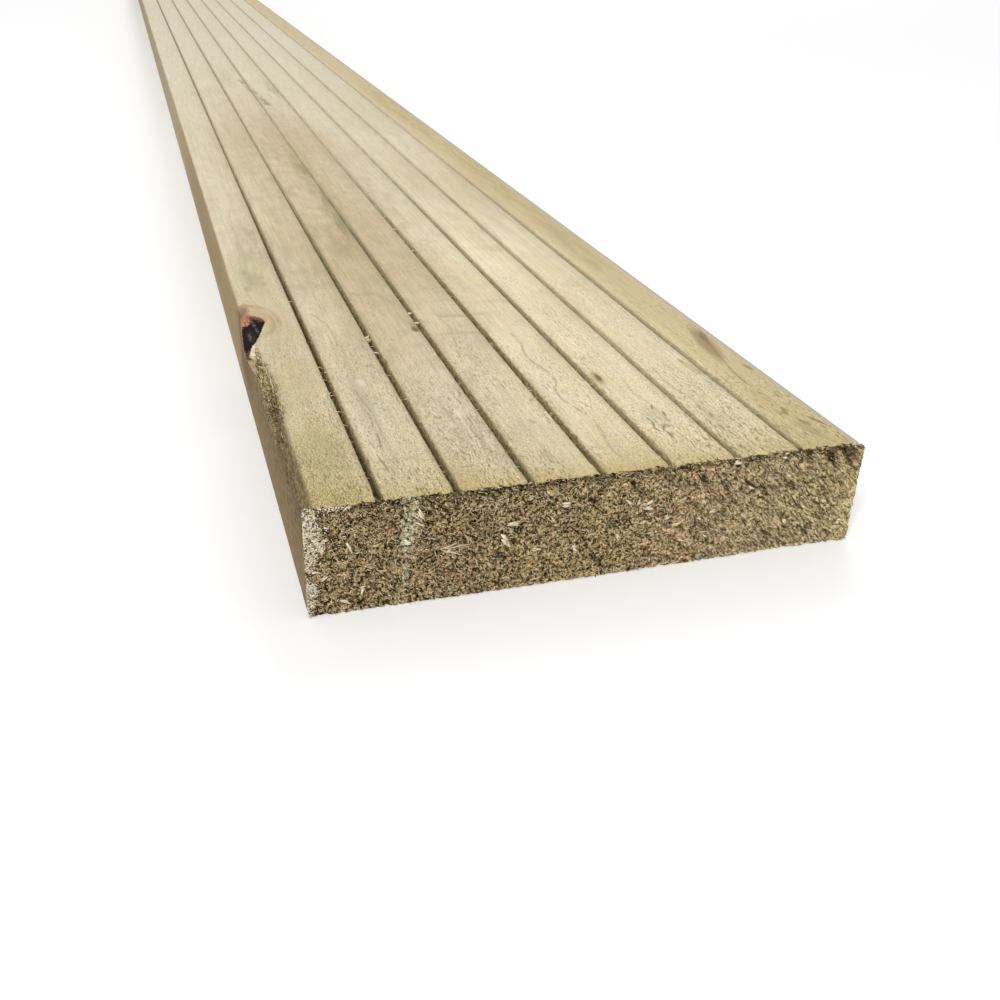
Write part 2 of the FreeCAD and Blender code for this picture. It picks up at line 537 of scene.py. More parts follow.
class Graph:
    """Writes a material's nodes: each call adds one and gives back its output."""

    def __init__(self, name):
        self.material = bpy.data.materials.new(name)
        self.material.use_nodes = True
        self.tree = self.material.node_tree
        self.tree.nodes.clear()
        texture = self.add("ShaderNodeTexCoord", {}, "Object")
        self.place = self.vector("MULTIPLY_ADD", texture, (1000, 1000, 1000), (LENGTH / 2, 0, 0))
        self.along, self.left, self.z = self.split(self.place)
        self.right = self.math("MULTIPLY", self.left, -1)

    def add(self, kind, inputs, output=0, **settings):
        node = self.tree.nodes.new(kind)
        for key, value in settings.items():
            setattr(node, key, value)
        for key, value in inputs.items():
            if isinstance(value, bpy.types.NodeSocket):
                self.tree.links.new(value, node.inputs[key])
            else:
                node.inputs[key].default_value = value
        return node.outputs[output] if len(node.outputs) else None

    def math(self, operation, a, b=0.0, c=0.0, clamp=False):
        return self.add("ShaderNodeMath", {0: a, 1: b, 2: c}, operation=operation, use_clamp=clamp)

    def vector(self, operation, a, b=(0, 0, 0), c=(0, 0, 0), output=0):
        return self.add("ShaderNodeVectorMath", {0: a, 1: b, 2: c}, output, operation=operation)

    def split(self, vector):
        node = self.tree.nodes.new("ShaderNodeSeparateXYZ")
        self.tree.links.new(vector, node.inputs[0])
        return node.outputs[0], node.outputs[1], node.outputs[2]

    def join(self, x, y, z):
        return self.add("ShaderNodeCombineXYZ", {0: x, 1: y, 2: z})

    def noise(self, stretch, detail=2.0, roughness=0.5, offset=(0, 0, 0), place=None):
        """Noise of mean 0.5 with stretch cells to a millimetre along each axis."""
        place = self.vector("MULTIPLY_ADD", place or self.place, stretch, offset)
        return self.add("ShaderNodeTexNoise", {
            "Vector": place, "Scale": 1.0, "Detail": detail, "Roughness": roughness})

    def fade(self, value, low, high, start=0.0, end=1.0):
        """A smooth step of value from start at low to end at high."""
        return self.add("ShaderNodeMapRange", {
            "Value": value, "From Min": low, "From Max": high, "To Min": start, "To Max": end},
            interpolation_type="SMOOTHSTEP")

    def decay(self, value, reach):
        """1 where value is 0, falling off exponentially over reach."""
        return self.math("EXPONENT", self.math("DIVIDE", value, -reach))

    def mix(self, factor, a, b, blend="MIX"):
        a, b = (c if isinstance(c, bpy.types.NodeSocket) else (*c, 1) for c in (a, b))
        return self.add("ShaderNodeMix", {0: factor, 6: a, 7: b}, 2, data_type="RGBA", blend_type=blend)

    def times(self, *values):
        total = values[0]
        for value in values[1:]:
            total = self.math("MULTIPLY", total, value)
        return total

    def scale(self, colour, amount):
        grey = self.add("ShaderNodeCombineColor", {0: amount, 1: amount, 2: amount})
        return self.mix(1.0, colour, grey, "MULTIPLY")

    def darken(self, colour, *amount):
        """Take the product of the amounts, from 0 to 1, off the colour."""
        return self.scale(colour, self.math("SUBTRACT", 1, self.times(*amount)))

    def attribute(self, name):
        return self.add("ShaderNodeAttribute", {}, "Fac", attribute_name=name)

    def spot(self, along, right, half_length, half_width, tilt=0.0, place=None, edge=0.35):
        """1 inside a soft ellipse on the top face, 0 outside. tilt turns it to the right."""
        c, s = math.cos(math.radians(tilt)), math.sin(math.radians(tilt))
        local = self.vector("SUBTRACT", place or self.place, (along, -right, 0))
        u = self.vector("DOT_PRODUCT", local, (c / half_length, -s / half_length, 0), output="Value")
        v = self.vector("DOT_PRODUCT", local, (s / half_width, c / half_width, 0), output="Value")
        squared = self.math("MULTIPLY_ADD", u, u, self.times(v, v))
        return self.fade(squared, (1 + edge) ** 2, (1 - edge) ** 2)

    def wall_spot(self, across, z, across_at, z_at, half_across, half_z, edge=0.35):
        """1 inside a soft ellipse on an upright face, 0 outside. across is its level axis."""
        level = self.math("DIVIDE", self.math("SUBTRACT", across, across_at), half_across)
        up = self.math("DIVIDE", self.math("SUBTRACT", z, z_at), half_z)
        size = self.math("SQRT", self.math("ADD", self.times(level, level), self.times(up, up)))
        return self.fade(size, 1.0 + edge, 1.0 - edge)

    def line(self, points, half_width, place=None):
        """1 on a thin line on the top face through points of (along, right), 0 beside it."""
        along, left, _ = self.split(place or self.place)
        start, reach = points[0][0], points[-1][0] - points[0][0]
        low = min(right for _, right in points)
        span = max(max(right for _, right in points) - low, 1.0)
        node = self.tree.nodes.new("ShaderNodeFloatCurve")
        curve = node.mapping.curves[0]
        places = [((a - start) / reach, (right - low) / span) for a, right in points]
        for _ in places[2:]:
            curve.points.new(0.5, 0.5)
        for knot, place_on_curve in zip(curve.points, places):
            knot.location = place_on_curve
        node.mapping.update()
        self.tree.links.new(self.math("DIVIDE", self.math("SUBTRACT", along, start), reach), node.inputs["Value"])
        centre = self.math("MULTIPLY_ADD", node.outputs[0], -span, -low)
        off = self.math("ABSOLUTE", self.math("SUBTRACT", left, centre))
        window = self.times(self.fade(along, start - 1, start + 2), self.fade(along, start + reach + 1, start + reach - 2))
        return self.times(self.fade(off, half_width * 1.5, half_width * 0.4), window)

    def finish(self, colour, roughness, height, bump_mm, bump=1.0, specular=0.3):
        normal = self.add("ShaderNodeBump", {
            "Strength": bump, "Distance": bump_mm * 0.001, "Height": height})
        shader = self.add("ShaderNodeBsdfPrincipled", {
            "Base Color": colour, "Roughness": roughness, "Normal": normal,
            "Specular IOR Level": specular})
        self.add("ShaderNodeOutputMaterial", {"Surface": shader})
        return self.material


PALE = (0.72, 0.625, 0.43)
WARM = (0.65, 0.54, 0.34)
GREEN_GREY = (0.585, 0.55, 0.385)
PINK = (0.70, 0.575, 0.43)
BLEACHED = (0.735, 0.67, 0.535)
GOLD = (0.56, 0.445, 0.225)
OCHRE = (0.50, 0.375, 0.145)
OLIVE = (0.36, 0.31, 0.155)
LATEWOOD = (0.50, 0.41, 0.24)
BROWN = (0.30, 0.20, 0.10)
GREY_BROWN = (0.36, 0.31, 0.215)
GREEN = (0.24, 0.24, 0.125)
KHAKI = (0.41, 0.36, 0.195)
UMBER = (0.21, 0.15, 0.07)
TAN = (0.50, 0.42, 0.30)
DARK = (0.10, 0.072, 0.040)
WHITE = (0.80, 0.74, 0.62)

# Marks on the top face: along, right, half length, half width, tilt, colour, strength
MARKS = [
    (335, 54.5, 150, 3.0, 0.6, OLIVE, 0.35), (440, 51.5, 55, 2.4, 0, OCHRE, 0.55),
    (235, 57.0, 50, 2.2, -2, OCHRE, 0.45), (150, 52.5, 30, 3.0, 3, OLIVE, 0.25),
    (64.0, 54.0, 10.5, 1.8, 8, BROWN, 0.75), (68, 55.6, 4.0, 0.7, 12, DARK, 0.45),
    (46, 56.6, 1.6, 0.5, -12, DARK, 0.50),
    (48.5, 42.4, 4.5, 0.9, -8, OCHRE, 0.55), (53.5, 41.9, 1.5, 0.5, 0, BROWN, 0.5),
    (48.5, 17.3, 4.0, 1.1, 3, (0.42, 0.29, 0.09), 0.75), (48.2, 17.6, 1.8, 0.55, 3, DARK, 0.75),
    (506, -2.0, 22, 2.6, 0, GREY_BROWN, 0.40), (560, -25, 34, 3.0, 0, TAN, 0.40),
    (300, -17.6, 24, 3.4, 0, KHAKI, 0.55), (262, -17.4, 30, 2.6, 0, KHAKI, 0.45),
    (216, -16.6, 20, 3.0, 3, OLIVE, 0.62), (184, -19.8, 20, 3.2, 6, BROWN, 0.34),
    (155, -42.0, 22, 4.5, 0, GREY_BROWN, 0.30), (152, -53.4, 20, 3.4, 0, KHAKI, 0.30),
    (141, -53.0, 6, 2.0, 0, GREEN, 0.28), (133, -55.6, 2.0, 1.0, 0, GREEN, 0.32),
    (137, -50.4, 2.0, 0.8, 0, GREEN, 0.28), (149, -55.1, 2.0, 0.8, 0, GREEN, 0.28),
    (29.1, 22.9, 1.3, 0.26, 20, GREEN, 0.9), (25.1, 24.2, 1.6, 0.24, 5, GREEN, 0.9),
    (20.3, 19.4, 1.2, 0.26, 10, GREEN, 0.9), (18.1, 19.0, 1.0, 0.22, -8, GREEN, 0.9),
    (18.2, 21.0, 1.6, 0.27, 25, GREEN, 0.9), (14.3, 20.8, 1.5, 0.30, 0, GREEN, 0.95),
    (21.7, 23.7, 1.0, 0.30, -10, GREEN, 0.6), (24.0, 21.5, 4.5, 2.2, 10, GREEN, 0.22),
    (21.5, 34.2, 1.2, 0.40, 15, GREEN, 0.7), (26.6, 33.5, 1.0, 0.35, 0, GREEN, 0.6),
    (18.4, 32.1, 0.9, 0.30, 20, GREEN, 0.6), (15.8, 33.4, 0.9, 0.35, 0, GREEN, 0.6),
    (21.9, 37.6, 1.4, 0.35, 8, GREY_BROWN, 0.6), (19.0, 34.0, 4.5, 2.4, 0, GREEN, 0.18),
    (19.9, 51.4, 1.8, 0.45, 14, UMBER, 0.75), (20.6, 52.1, 1.1, 0.35, -10, UMBER, 0.6),
    (13.5, 52.6, 1.6, 0.55, -8, UMBER, 0.70), (12.2, 53.4, 1.1, 0.4, 20, UMBER, 0.6),
    (13.9, 55.8, 2.0, 0.45, -20, UMBER, 0.80), (9.0, 52.0, 4.5, 1.0, -14, OLIVE, 0.65),
    (22.0, 51.0, 9.0, 2.4, -10, OCHRE, 0.30), (173, -49.5, 26, 4.0, 0, OLIVE, 0.22),
    (190, -51, 16, 3.0, 0, GREY_BROWN, 0.25), (22, -51, 12, 5.5, 0, OLIVE, 0.25),
    (11.5, -8.0, 2.2, 0.6, 10, GREY_BROWN, 0.5), (27.9, -6.0, 1.1, 0.45, -20, GREY_BROWN, 0.6),
    (90.7, -16.9, 2.0, 0.9, 0, DARK, 0.8), (94.5, -16.4, 2.4, 1.2, 0, GREY_BROWN, 0.6),
    (121.8, -24.2, 1.6, 3.2, 6, GREY_BROWN, 0.35), (117.0, -19.6, 3.2, 0.9, -14, GREY_BROWN, 0.4),
    (98.6, -5.4, 1.2, 3.0, 12, GREY_BROWN, 0.35), (98.4, 1.2, 1.1, 3.6, -8, GREY_BROWN, 0.3),
    (84.8, -4.4, 1.1, 5.8, 6, GREY_BROWN, 0.35), (108, 10.5, 1.4, 4.5, 4, GREY_BROWN, 0.25),
    # The two grey-brown bands across the ribs on the next line are painted shade of the planing waves
    (132, -38, 3.2, 5.0, 5, GREY_BROWN, 0.20), (146, -36, 4.0, 5.5, -4, GREY_BROWN, 0.22),
    (160, 25, 3.2, 5.0, 3, GREY_BROWN, 0.18), (118, 38, 2.4, 4.0, -6, GREY_BROWN, 0.18),
    (56, -38.6, 3.5, 1.6, 0, PINK, 0.7), (58, -37.9, 1.8, 0.9, 0, WHITE, 0.5),
    (30.0, -23.2, 1.4, 0.5, 0, WHITE, 0.6), (36.0, -20.5, 1.6, 0.7, 0, WHITE, 0.5),
]

# Thin lines on the top face: half width, colour, strength, then points of (along, right)
LINES = [
    (2.2, TAN, 1.0, [(448, -11.6), (494, -14.5), (545, -17.2)]),
    (1.3, GREY_BROWN, 0.90, [(446, -11.4), (494, -14.5), (535, -16.8)]),
    (1.7, OLIVE, 0.50, [(192, -17.4), (240, -16.4), (302, -17.6)]),
    (0.40, GREY_BROWN, 0.60, [(29.5, 6.7), (34.1, 5.7), (37.7, 4.7), (44.5, 5.3), (51.2, 7.2), (56.4, 6.6),
                              (65.9, 5.4), (75.2, 7.0), (82.7, 6.3)]),
    (0.40, GREY_BROWN, 0.55, [(6.0, 6.6), (10.8, 5.8), (18.2, 6.7), (24.2, 7.3)]),
    (0.45, BROWN, 0.38, [(81.6, -38.9), (92.9, -38.5), (103.9, -40.2), (109.3, -43.4)]),
    (0.26, DARK, 0.65, [(12.0, -41.2), (15.5, -41.4), (19.5, -41.8)]),
    (0.26, DARK, 0.60, [(22.5, -40.4), (26.0, -40.1), (30.0, -39.9)]),
    (0.24, DARK, 0.55, [(33.0, -40.0), (37.6, -39.6), (42.0, -39.9)]),
    (0.30, GREY_BROWN, 0.60, [(25.5, -38.8), (38.0, -38.7), (47.0, -39.4), (58.0, -40.0)]),
    (1.50, GREY_BROWN, 0.34, [(10.0, -40.0), (35.0, -39.3), (62.0, -38.8)]),
    (1.40, GREY_BROWN, 0.34, [(10.0, -17.5), (22.0, -18.4), (34.0, -17.2)]),
    (1.60, GREY_BROWN, 0.26, [(16.0, -24.4), (30.0, -22.8), (46.0, -23.4)]),
    (0.35, GREY_BROWN, 0.50, [(67.2, -11.2), (76.3, -9.7), (85.0, -8.4), (93.6, -7.6)]),
    (0.32, BROWN, 0.75, [(36.1, 51.1), (43.5, 51.5), (53.0, 52.8), (58.0, 53.6), (66.0, 55.4), (72.5, 56.4)]),
    (0.35, GREY_BROWN, 0.60, [(16.0, -15.7), (22.3, -15.9), (24.6, -16.7), (27.1, -17.9), (33.6, -16.6)]),
    (0.30, GREY_BROWN, 0.60, [(18.0, -19.6), (21.7, -19.2), (27.5, -19.9), (31.0, -18.8), (36.0, -19.6)]),
    (0.30, GREY_BROWN, 0.50, [(20.0, -23.6), (27.7, -23.3), (35.0, -22.4), (41.0, -23.0)]),
    (0.35, GREY_BROWN, 0.45, [(22.0, 33.2), (31.0, 34.0), (40.0, 32.6), (52.0, 33.4)]),
    (0.30, GREY_BROWN, 0.45, [(17.0, 22.6), (27.0, 23.6), (38.0, 22.5), (47.0, 23.9)]),
    (0.50, GREY_BROWN, 0.35, [(60.0, 22.0), (75.0, 23.0), (92.0, 21.2), (112.0, 22.4)]),
]


# Two facets on the knot pit's far wall, with painted highlights where they catch the light: right, z and half sizes
BLUE_GLINT = (-47.3, 20.8, 0.45, 1.9)
BROWN_GLINT = (-57.7, 18.0, 0.75, 1.0)


class Figure:
    """What the grain of the planed faces is made of."""

    def __init__(self, g):
        # the grain bends round the knot in the left arris
        knot_along = g.math("DIVIDE", g.math("SUBTRACT", g.along, KNOT[0] - 3), 17)
        swell = g.times(g.math("EXPONENT", g.times(knot_along, knot_along, -1)),
                        g.math("EXPONENT", g.math("DIVIDE", g.math("SUBTRACT", g.left, EDGE), 9)), 6.5)
        wander = g.math("MULTIPLY_ADD", g.noise((0.0045, 0.012, 0.012)), 46, -35)
        rise = g.math("MULTIPLY_ADD", g.noise((0.006, 0.02, 0.02), offset=(40, 3, 9)), 26, -13)
        bent = g.math("ADD", g.math("ADD", g.left, wander), swell)
        pith_below = g.math("ADD", g.math("ADD", g.z, 55), rise)
        radius = g.vector("LENGTH", g.join(0.0, bent, pith_below), output="Value")
        self.wobble = g.math("MULTIPLY", g.noise((0.03, 0.12, 0.12), offset=(7, 7, 7)), 2.2)
        rings = g.math("FRACT", g.math("DIVIDE", g.math("ADD", radius, self.wobble), 3.3))
        self.late = g.times(g.fade(rings, 0.45, 0.92), g.fade(rings, 1.0, 0.95))
        along_grain = g.join(g.along, g.math("ADD", g.left, swell), g.z)
        self.streak = g.noise((0.035, 1.3, 1.3), 3, 0.65, place=along_grain)
        self.fine_streak = g.noise((0.16, 4.0, 4.0), 2, 0.6, place=along_grain)
        self.dashes = g.noise((0.45, 2.2, 2.2), 2, 0.7, offset=(5, 2, 1), place=along_grain)
        self.speckle = g.noise((1.3, 3.0, 3.0), 1, 0.6, offset=(3, 9, 4))


def planed_ground(g, figure):
    """The clean planed wood: soft patches, mottles, faint rings and streaks."""
    mottle = g.noise((0.11, 0.20, 0.20), 3, 0.65, offset=(11, 5, 2))
    tint = g.noise((0.07, 0.13, 0.13), 3, 0.6, offset=(31, 15, 22))
    patches = g.noise((0.010, 0.045, 0.045), 1, 0.5, offset=(3, 1, 8))
    colour = g.mix(g.fade(patches, 0.35, 0.68), PALE, WARM)
    colour = g.mix(g.times(g.fade(mottle, 0.46, 0.66), 0.60), colour, GREEN_GREY)
    colour = g.mix(g.times(g.fade(tint, 0.50, 0.68), 0.55), colour, PINK)
    colour = g.mix(g.times(figure.late, 0.16), colour, LATEWOOD)
    colour = g.mix(g.fade(g.along, 200, 700, 0, 0.7), colour, BLEACHED)
    warmer = g.times(g.spot(240, -20, 165, 20, edge=0.7), g.fade(mottle, 0.34, 0.62, 0.65, 1.0))
    colour = g.mix(warmer, colour, (0.86, 0.80, 0.74), "MULTIPLY")
    colour = g.scale(colour, g.math("MULTIPLY_ADD", g.spot(50, 24, 130, 22, edge=0.6), 0.17, 1.0))
    colour = g.scale(colour, g.fade(figure.streak, 0.28, 0.72, 0.91, 1.07))
    colour = g.scale(colour, g.fade(figure.fine_streak, 0.25, 0.75, 0.94, 1.05))
    outer_rib = g.times(g.fade(g.right, 44, 48), g.fade(figure.streak, 0.2, 0.6, 1.0, 0.6))
    return g.mix(outer_rib, colour, GOLD)


def raised_grain(g, figure, colour):
    """Short dark and pale dashes in clusters, and speckle, mostly near the sawn end."""
    near = g.decay(g.along, 105)
    clusters = g.fade(g.noise((0.035, 0.10, 0.10), 2, 0.6, offset=(17, 3, 6)), 0.42, 0.60, 0.20, 1.0)
    combed = g.math("ADD", clusters, g.math("ADD", g.spot(24, -20.5, 22, 5, edge=0.6), g.spot(26, 34, 26, 5, edge=0.6)),
                    clamp=True)
    colour = g.darken(colour, g.fade(figure.dashes, 0.54, 0.66), near, combed, 0.60)
    colour = g.scale(colour, g.math("ADD", 1, g.times(g.fade(figure.dashes, 0.44, 0.30), near, combed, 0.28)))
    smoother = g.times(near, g.fade(g.math("ABSOLUTE", g.left), 3, 15, 0.55, 1.0), g.fade(g.right, 43, 48, 1.0, 0.6))
    colour = g.darken(colour, g.fade(figure.speckle, 0.50, 0.68), smoother, 0.38)
    colour = g.scale(colour, g.math("ADD", 1, g.times(g.fade(figure.speckle, 0.49, 0.30), smoother, 0.22)))
    dots = g.noise((2.4, 4.6, 4.6), 1, 0.5, offset=(8, 3, 3))
    on_knot_rib = g.times(g.fade(g.right, -43, -48), g.decay(g.along, 60))
    colour = g.darken(colour, g.fade(dots, 0.50, 0.64), on_knot_rib, 0.36)
    return g.scale(colour, g.math("ADD", 1, g.times(g.fade(dots, 0.50, 0.36), on_knot_rib, 0.34)))


def near_ends_ochre(g, colour):
    """The treatment shows stronger beside the cut ends and on the rib with the knot."""
    ends = g.math("ADD", g.decay(g.along, 10), g.decay(g.math("SUBTRACT", LENGTH, g.along), 10))
    ragged = g.fade(g.noise((0.25, 0.22, 0.3), 2, offset=(9, 9, 1)), 0.25, 0.65, 0.65, 1.0)
    colour = g.mix(g.times(ends, ragged, 0.95), colour, OCHRE)
    knot_rib = g.times(g.fade(g.right, -43, -50), g.decay(g.along, 48))
    colour = g.mix(g.times(knot_rib, g.fade(g.noise((0.05, 0.2, 0.2), 2, offset=(2, 2, 9)), 0.3, 0.6, 0.5, 0.9)),
                   colour, (0.46, 0.36, 0.145))
    blotches = g.fade(g.noise((0.13, 0.30, 0.3), 2, 0.6, offset=(12, 7, 19)), 0.48, 0.62)
    colour = g.darken(colour, blotches, knot_rib, 0.16)
    others = g.times(g.decay(g.along, 60), g.fade(g.math("ABSOLUTE", g.left), 22, 34))
    return g.mix(g.times(others, 0.22), colour, (0.50, 0.42, 0.22))


def marks_painted(g, figure, colour):
    forth = g.math("MULTIPLY_ADD", g.noise((0.12, 0.6, 0.6)), 5.0, -2.5)
    aside = g.math("MULTIPLY_ADD", g.noise((0.12, 0.6, 0.6), offset=(40, 20, 30)), 1.8, -0.9)
    shift = g.join(forth, aside, 0.0)
    ragged = g.vector("ADD", g.place, shift)
    trembling = g.vector("ADD", g.place, g.vector("MULTIPLY", shift, (0.4, 0.4, 0)))
    on_top = g.fade(g.z, THICKNESS - 1.2, THICKNESS - 0.4)
    cloudy = g.times(on_top, g.fade(g.noise((0.05, 0.35, 0.35), 3, 0.7, offset=(6, 1, 3)), 0.36, 0.62, 0.15, 1.15))
    for along, right, half_length, half_width, tilt, paint, strength in MARKS:
        large = half_length > 12
        mask = g.spot(along, right, half_length, half_width, tilt,
                      ragged if half_length > 3 and half_width > 1 else trembling, 0.85 if large else 0.6)
        colour = g.mix(g.times(mask, cloudy if large else on_top, strength), colour, paint)
    wisps = g.fade(g.noise((0.5, 1.2, 1.2), 1, offset=(3, 5, 2)), 0.30, 0.55, 0.30, 1)
    strokes = g.fade(figure.dashes, 0.47, 0.58)
    for half_width, paint, strength, points in LINES:
        broken = g.times(wisps if half_width < 0.5 else strokes, on_top) if half_width < 1 else cloudy
        colour = g.mix(g.times(g.line(points, half_width, trembling), strength, broken), colour, paint)
    return colour


def knot_grain(g, figure, colour):
    """Arcs of darker and redder wood hugging the far side of the knot."""
    centre = tuple(KNOT + (-1.0, 0.0, 3.2))
    from_knot = g.vector("LENGTH", g.vector("MULTIPLY", g.vector("SUBTRACT", g.place, centre), (0.60, 1.0, 0.8)),
                         output="Value")
    bumpy = g.noise((0.09, 0.22, 0.2), 2, 0.6, offset=(14, 2, 2))
    wavy = g.math("MULTIPLY_ADD", bumpy, 2.6, g.math("SUBTRACT", from_knot, 1.3))
    loops = g.math("FRACT", g.math("DIVIDE", wavy, 1.7))
    reach = g.times(g.fade(wavy, 13, 7), g.fade(g.along, 88, 102))
    colour = g.mix(g.times(reach, 0.30), colour, (0.60, 0.48, 0.27))
    soft = g.times(g.fade(loops, 0.30, 0.70), g.fade(loops, 1.0, 0.80), reach)
    colour = g.mix(g.times(soft, g.fade(bumpy, 0.35, 0.6, 0.15, 0.50)), colour, (0.42, 0.32, 0.16))
    outer = g.times(g.fade(g.math("ABSOLUTE", g.math("SUBTRACT", wavy, 9.1)), 0.95, 0.15), g.fade(g.along, 90, 106))
    colour = g.mix(g.times(outer, g.fade(bumpy, 0.36, 0.60, 0.35, 0.75)), colour, (0.40, 0.28, 0.14))
    inner = g.times(g.fade(g.math("ABSOLUTE", g.math("SUBTRACT", wavy, 7.3)), 1.1, 0.2), g.fade(g.along, 91, 96),
                    g.fade(g.along, 113, 107))
    colour = g.mix(g.times(inner, g.fade(bumpy, 0.36, 0.60, 0.70, 0.40)), colour, (0.40, 0.33, 0.14))
    blush = g.times(g.fade(from_knot, 9.5, 7.0), g.fade(g.along, 104, 111))
    return g.mix(g.times(blush, g.fade(bumpy, 0.36, 0.60, 0.65, 0.40)), colour, (0.56, 0.36, 0.22))


def side_colour(g, figure, colour):
    """The two narrow faces, with the stained and splintery stretch below the torn arris, and a painted shadow just
    under that arris.
    """
    at_side = g.times(g.fade(g.math("ABSOLUTE", g.left), EDGE - 1.2, EDGE - 0.3),
                      g.fade(g.z, THICKNESS - 0.4, THICKNESS - 1.4))
    side = g.mix(g.fade(figure.streak, 0.32, 0.68), (0.39, 0.31, 0.165), (0.50, 0.41, 0.25))
    side = g.mix(g.times(figure.late, 0.4), side, (0.34, 0.26, 0.13))
    side = g.mix(g.fade(g.z, 9, 3, 0, 0.5), side, (0.54, 0.45, 0.31))
    to_left = g.fade(g.left, 0, 1)
    side = g.mix(g.times(to_left, g.fade(g.along, 480, 260), 0.9), side, (0.74, 0.66, 0.48), "MULTIPLY")
    by_knot = g.times(to_left, g.fade(g.along, 135, 96))
    fibrous = g.noise((0.22, 2.4, 2.4), 3, 0.7, offset=(6, 6, 1))
    pinkish = g.mix(g.fade(fibrous, 0.38, 0.58), (0.098, 0.060, 0.018), (0.275, 0.182, 0.068))
    side = g.mix(g.times(by_knot, g.fade(g.z, 2, 16, 0.70, 1.0)), side, pinkish)
    shadow = g.times(g.fade(g.z, 14, 21), g.fade(g.along, 84, 60), to_left)
    side = g.mix(g.times(shadow, 0.55), side, (0.15, 0.10, 0.042))
    specks = g.noise((0.35, 1.0, 0.9), 1, 0.5, offset=(8, 1, 5))
    side = g.mix(g.times(g.fade(specks, 0.57, 0.64), by_knot, g.fade(g.math("ABSOLUTE", g.math("SUBTRACT", g.z, 9)), 4, 7), 0.9),
                 side, (0.06, 0.038, 0.017))
    colour = g.mix(at_side, colour, side)
    red = g.times(g.fade(g.along, 88, 99), g.fade(g.along, 122, 114), g.fade(g.left, EDGE - 3.2, EDGE - 1.4),
                  g.fade(g.z, 3, 11), g.fade(fibrous, 0.34, 0.56, 0.55, 1.0))
    colour = g.mix(g.times(red, 0.90), colour, (0.165, 0.088, 0.036))
    far_arris = g.times(g.fade(g.right, EDGE - 2.7, EDGE - 1.8), g.fade(g.z, THICKNESS - 6, THICKNESS - 2))
    return g.mix(g.times(far_arris, 0.85), colour, (0.47, 0.43, 0.42))


def groove_colour(g, figure, colour):
    """Painted shade that deepens down the groove, mixed with dirt and the treatment's green, and painted lighter far
    from the cut to lift the grooves' shade.
    """
    inside = g.times(g.fade(g.math("ABSOLUTE", g.left), 47.2, 46.8), g.fade(g.z, 19.0, 19.5))
    # Painted light: the groove colours turn paler away from the cut, lifting the shade in the slots
    far_lifted = g.fade(g.along, 60, 350)
    bare = g.fade(g.right, 8, 24, 1.0, 0.45)
    grime = g.noise((0.5, 1.4, 1.4), 2, 0.65, offset=(9, 4, 4))
    # Painted shade and dirt: the upper and deeper colours darken down the groove, streaked by the grime noise
    upper_shade_and_dirt = g.mix(far_lifted, g.mix(g.fade(grime, 0.38, 0.60), (0.40, 0.33, 0.17), (0.22, 0.175, 0.08)),
                  (0.70, 0.63, 0.45))
    deep_shade_and_dirt = g.mix(far_lifted, g.mix(g.fade(grime, 0.40, 0.60), (0.36, 0.28, 0.13), (0.13, 0.10, 0.045)),
                  (0.66, 0.58, 0.40))
    colour = g.mix(g.times(inside, g.fade(g.z, 23.98, 23.45), bare), colour, upper_shade_and_dirt)
    colour = g.mix(g.times(inside, g.fade(g.z, 23.2, 21.4)), colour, deep_shade_and_dirt)
    beside = g.math("PINGPONG", g.math("ADD", g.left, 0.0), GROOVE_PITCH / 2)
    stain = g.times(g.fade(beside, 2.3, 0.9), g.fade(g.math("ABSOLUTE", g.left), 49, 48), g.decay(g.along, 260),
                    g.fade(grime, 0.36, 0.58), g.fade(g.z, 23.0, 23.9), bare)
    return g.mix(g.times(stain, 0.50), colour, (0.36, 0.29, 0.14))


def torn_colour(g, colour):
    """Torn grain: olive-brown strands with dark gaps, and a painted shade on the rounded arris near the cut."""
    torn = g.attribute("torn")
    strands = g.noise((0.45, 2.4, 2.4), 3, 0.7, offset=(2, 8, 3))
    patchy = g.noise((0.12, 0.5, 0.5), 2, 0.6, offset=(5, 3, 8))
    base = g.mix(g.fade(patchy, 0.44, 0.56), (0.30, 0.22, 0.11), (0.46, 0.385, 0.15))
    base = g.mix(g.fade(strands, 0.50, 0.42), base, (0.050, 0.034, 0.014))
    base = g.mix(g.fade(strands, 0.53, 0.62), base, (0.66, 0.56, 0.37))
    colour = g.mix(g.times(torn, g.fade(g.along, 30, 48), 0.92), colour, base)
    # Painted shade: the rounded arris beside the torn stretch turns dark brown, streaked by the strands
    shaded_arris = g.times(g.fade(g.left, EDGE - 2.9, EDGE - 1.6), g.fade(g.z, THICKNESS - 5.5, THICKNESS - 2.5),
                    g.fade(g.along, 62, 46))
    arris_shade = g.mix(g.fade(strands, 0.42, 0.60), (0.075, 0.050, 0.020), (0.22, 0.155, 0.068))
    colour = g.mix(g.times(shaded_arris, 0.88), colour, arris_shade)
    return colour, g.times(torn, g.fade(g.along, 30, 48)), strands


